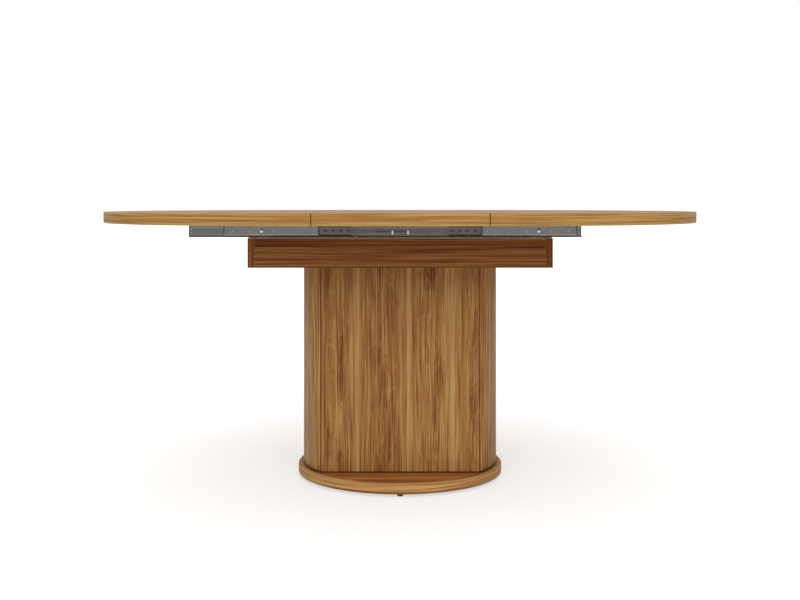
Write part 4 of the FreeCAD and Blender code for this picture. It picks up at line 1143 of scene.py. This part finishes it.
        # Painted shade round each window.
        spot = (near * near * 0.4 + z * z).apply("SQRT").rise(0.0042, 0.0024)
        pitch = self.window_pitch
        inboard = along.rise(3.6 * pitch, 3.4 * pitch) * along.rise(-0.5 * pitch, -0.4 * pitch)
        return edges.apply("MAXIMUM", spot * inboard * 0.7)

    def rivet_tops(self, graph: Graph) -> Signal:
        """Shaded upper part of the stop rivets' domes."""
        return (graph.position()[2] - self.slide_centre).rise(0.0004, 0.0020) * 0.45

    def stud_tops(self, graph: Graph) -> Signal:
        """Shaded upper ends of the stop studs' heads."""
        return graph.position()[2].rise(0.7005, 0.7035) * 0.6

    def angle_edge_highlight(self, graph: Graph) -> Signal:
        """Painted highlight on the lit front edge of the support angles."""
        return graph.position()[1].apply("ABSOLUTE").rise(0.3440, 0.3450) * 0.9


@dataclass
class LeafMechanism:
    """Arms, brackets, pins and barrels that fold the leaf into the box."""

    shape: TableShape
    nodes: dict[str, bpy.types.Object]

    def build(self) -> None:
        """Dress the arms, brackets, pins, screws and barrels."""
        painted = SteelFinish(
            "arm_steel", tone(70, 70, 72), tone(44, 44, 46), metallic=0.2, roughness=0.45, coat=0.2
        )
        arms = ("swing_arms_front", "swing_arms_back", "floor_pivot_brackets", "leaf_pivot_brackets")
        dress(self.nodes, arms, painted.material())
        pins = SteelFinish("pin_steel", tone(206, 204, 198), tone(160, 158, 152), roughness=0.28)
        names = ("floor_pivot_pins", "leaf_pivot_pins", "leaf_bracket_screws")
        dress(self.nodes, names, pins.material())
        brass = SteelFinish("hinge_brass", tone(208, 176, 104), tone(170, 136, 70), roughness=0.3, metallic=1.0)
        dress(self.nodes, ("leaf_hinge_barrels_front", "leaf_hinge_barrels_back"), brass.material())


# ---- Studio ----------------------------------------------------------------------------------


@dataclass(frozen=True)
class Studio:
    """Pale floor, soft lights and a level camera in front of the table."""

    camera_side: float = -0.006
    camera_distance: float = 3.344
    camera_height: float = 0.7771
    lens: float = 52.36
    shift: float = -0.12256
    floor_half: float = 60.0
    ambient: float = 0.28
    glow: float = 0.56

    def floor(self) -> None:
        """Large pale floor, a flat grid with a very faint texture."""
        steps = np.linspace(-self.floor_half, self.floor_half, 9)
        x, y = np.meshgrid(steps, steps, indexing="ij")
        points = np.stack([x, y, np.zeros_like(x)], axis=-1).reshape(-1, 3)
        row = np.arange(8)[:, None] * 9
        column = np.arange(8)[None, :]
        first = row + column
        faces = np.stack([first, first + 9, first + 10, first + 1], axis=-1).reshape(-1, 4)
        thing = surface_mesh("studio_floor", points, faces)
        g = Graph("pale_floor")
        cloud = g.noise(g.position(), (0.6, 0.6, 0.6), detail=2.0)
        colour = g.blend(cloud, (0.46, 0.46, 0.46), (0.49, 0.49, 0.488))
        glow = {"Emission_Color": (1.0, 1.0, 1.0), "Emission_Strength": self.glow}
        thing.data.materials.append(
            g.surface(Base_Color=colour, Roughness=0.9, Specular_IOR_Level=0.1, **glow)
        )

    def sun(
        self, name: str, bearing: float, height: float, softness: float, strength: float,
        colour: Colour = (1.0, 1.0, 1.0),
    ) -> None:
        """Add a far soft light.

        Args:
            name: Name of the light.
            bearing: Degrees from the front towards the right.
            height: Degrees above the floor.
            softness: Apparent width in degrees.
            strength: Strength of the light.
            colour: Colour of the light.
        """
        data = bpy.data.lights.new(name, "SUN")
        data.angle = math.radians(softness)
        data.energy = strength
        data.color = colour
        lamp = bpy.data.objects.new(name, data)
        lamp.rotation_euler = (math.radians(90.0 - height), 0.0, math.radians(bearing))
        bpy.context.scene.collection.objects.link(lamp)

    def world(self) -> None:
        """White surroundings that light the table less than they show."""
        world = bpy.data.worlds.new("studio")
        world.use_nodes = True
        tree = world.node_tree
        ground = tree.nodes["Background"]
        ground.inputs["Color"].default_value = (1.0, 1.0, 1.0, 1.0)
        seen = tree.nodes.new("ShaderNodeLightPath")
        level = tree.nodes.new("ShaderNodeMapRange")
        level.inputs["To Min"].default_value = self.ambient
        level.inputs["To Max"].default_value = 1.0
        tree.links.new(seen.outputs["Is Camera Ray"], level.inputs["Value"])
        tree.links.new(level.outputs["Result"], ground.inputs["Strength"])
        bpy.context.scene.world = world

    def camera(self) -> None:
        """Level camera in front of the table, a little left of its middle and aimed at it."""
        data = bpy.data.cameras.new("front_camera")
        data.lens = self.lens
        data.shift_y = self.shift
        data.clip_end = 100.0
        thing = bpy.data.objects.new("front_camera", data)
        thing.location = (self.camera_side, -self.camera_distance, self.camera_height)
        thing.rotation_euler = (math.pi / 2.0, 0.0, math.atan(self.camera_side / self.camera_distance))
        bpy.context.scene.collection.objects.link(thing)
        bpy.context.scene.camera = thing

    def build(self) -> None:
        """Set up the floor, the surroundings, the lights and the camera."""
        self.camera()
        self.floor()
        self.world()
        self.sun("key_light", -1.0, 31.0, 46.0, 1.92)
        self.sun("overhead_light", 0.0, 86.0, 80.0, 1.9)
        self.sun("back_light", 180.0, 29.0, 56.0, 0.5, (1.0, 0.88, 0.74))
        view = bpy.context.scene.view_settings
        view.view_transform = "Standard"
        view.look = "None"


def main() -> None:
    """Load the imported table, dress it, and set up the studio."""
    logging.basicConfig(level=logging.INFO, format="%(name)s: %(message)s")
    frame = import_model()
    nodes = frame["nodes"]
    Studio().build()
    shape = TableShape.measured()
    for part in (Top, Pedestal, StorageBox, Slides, LeafMechanism):
        LOG.info("building %s", part.__name__)
        part(shape, nodes).build()


if __name__ == "__main__":
    main()
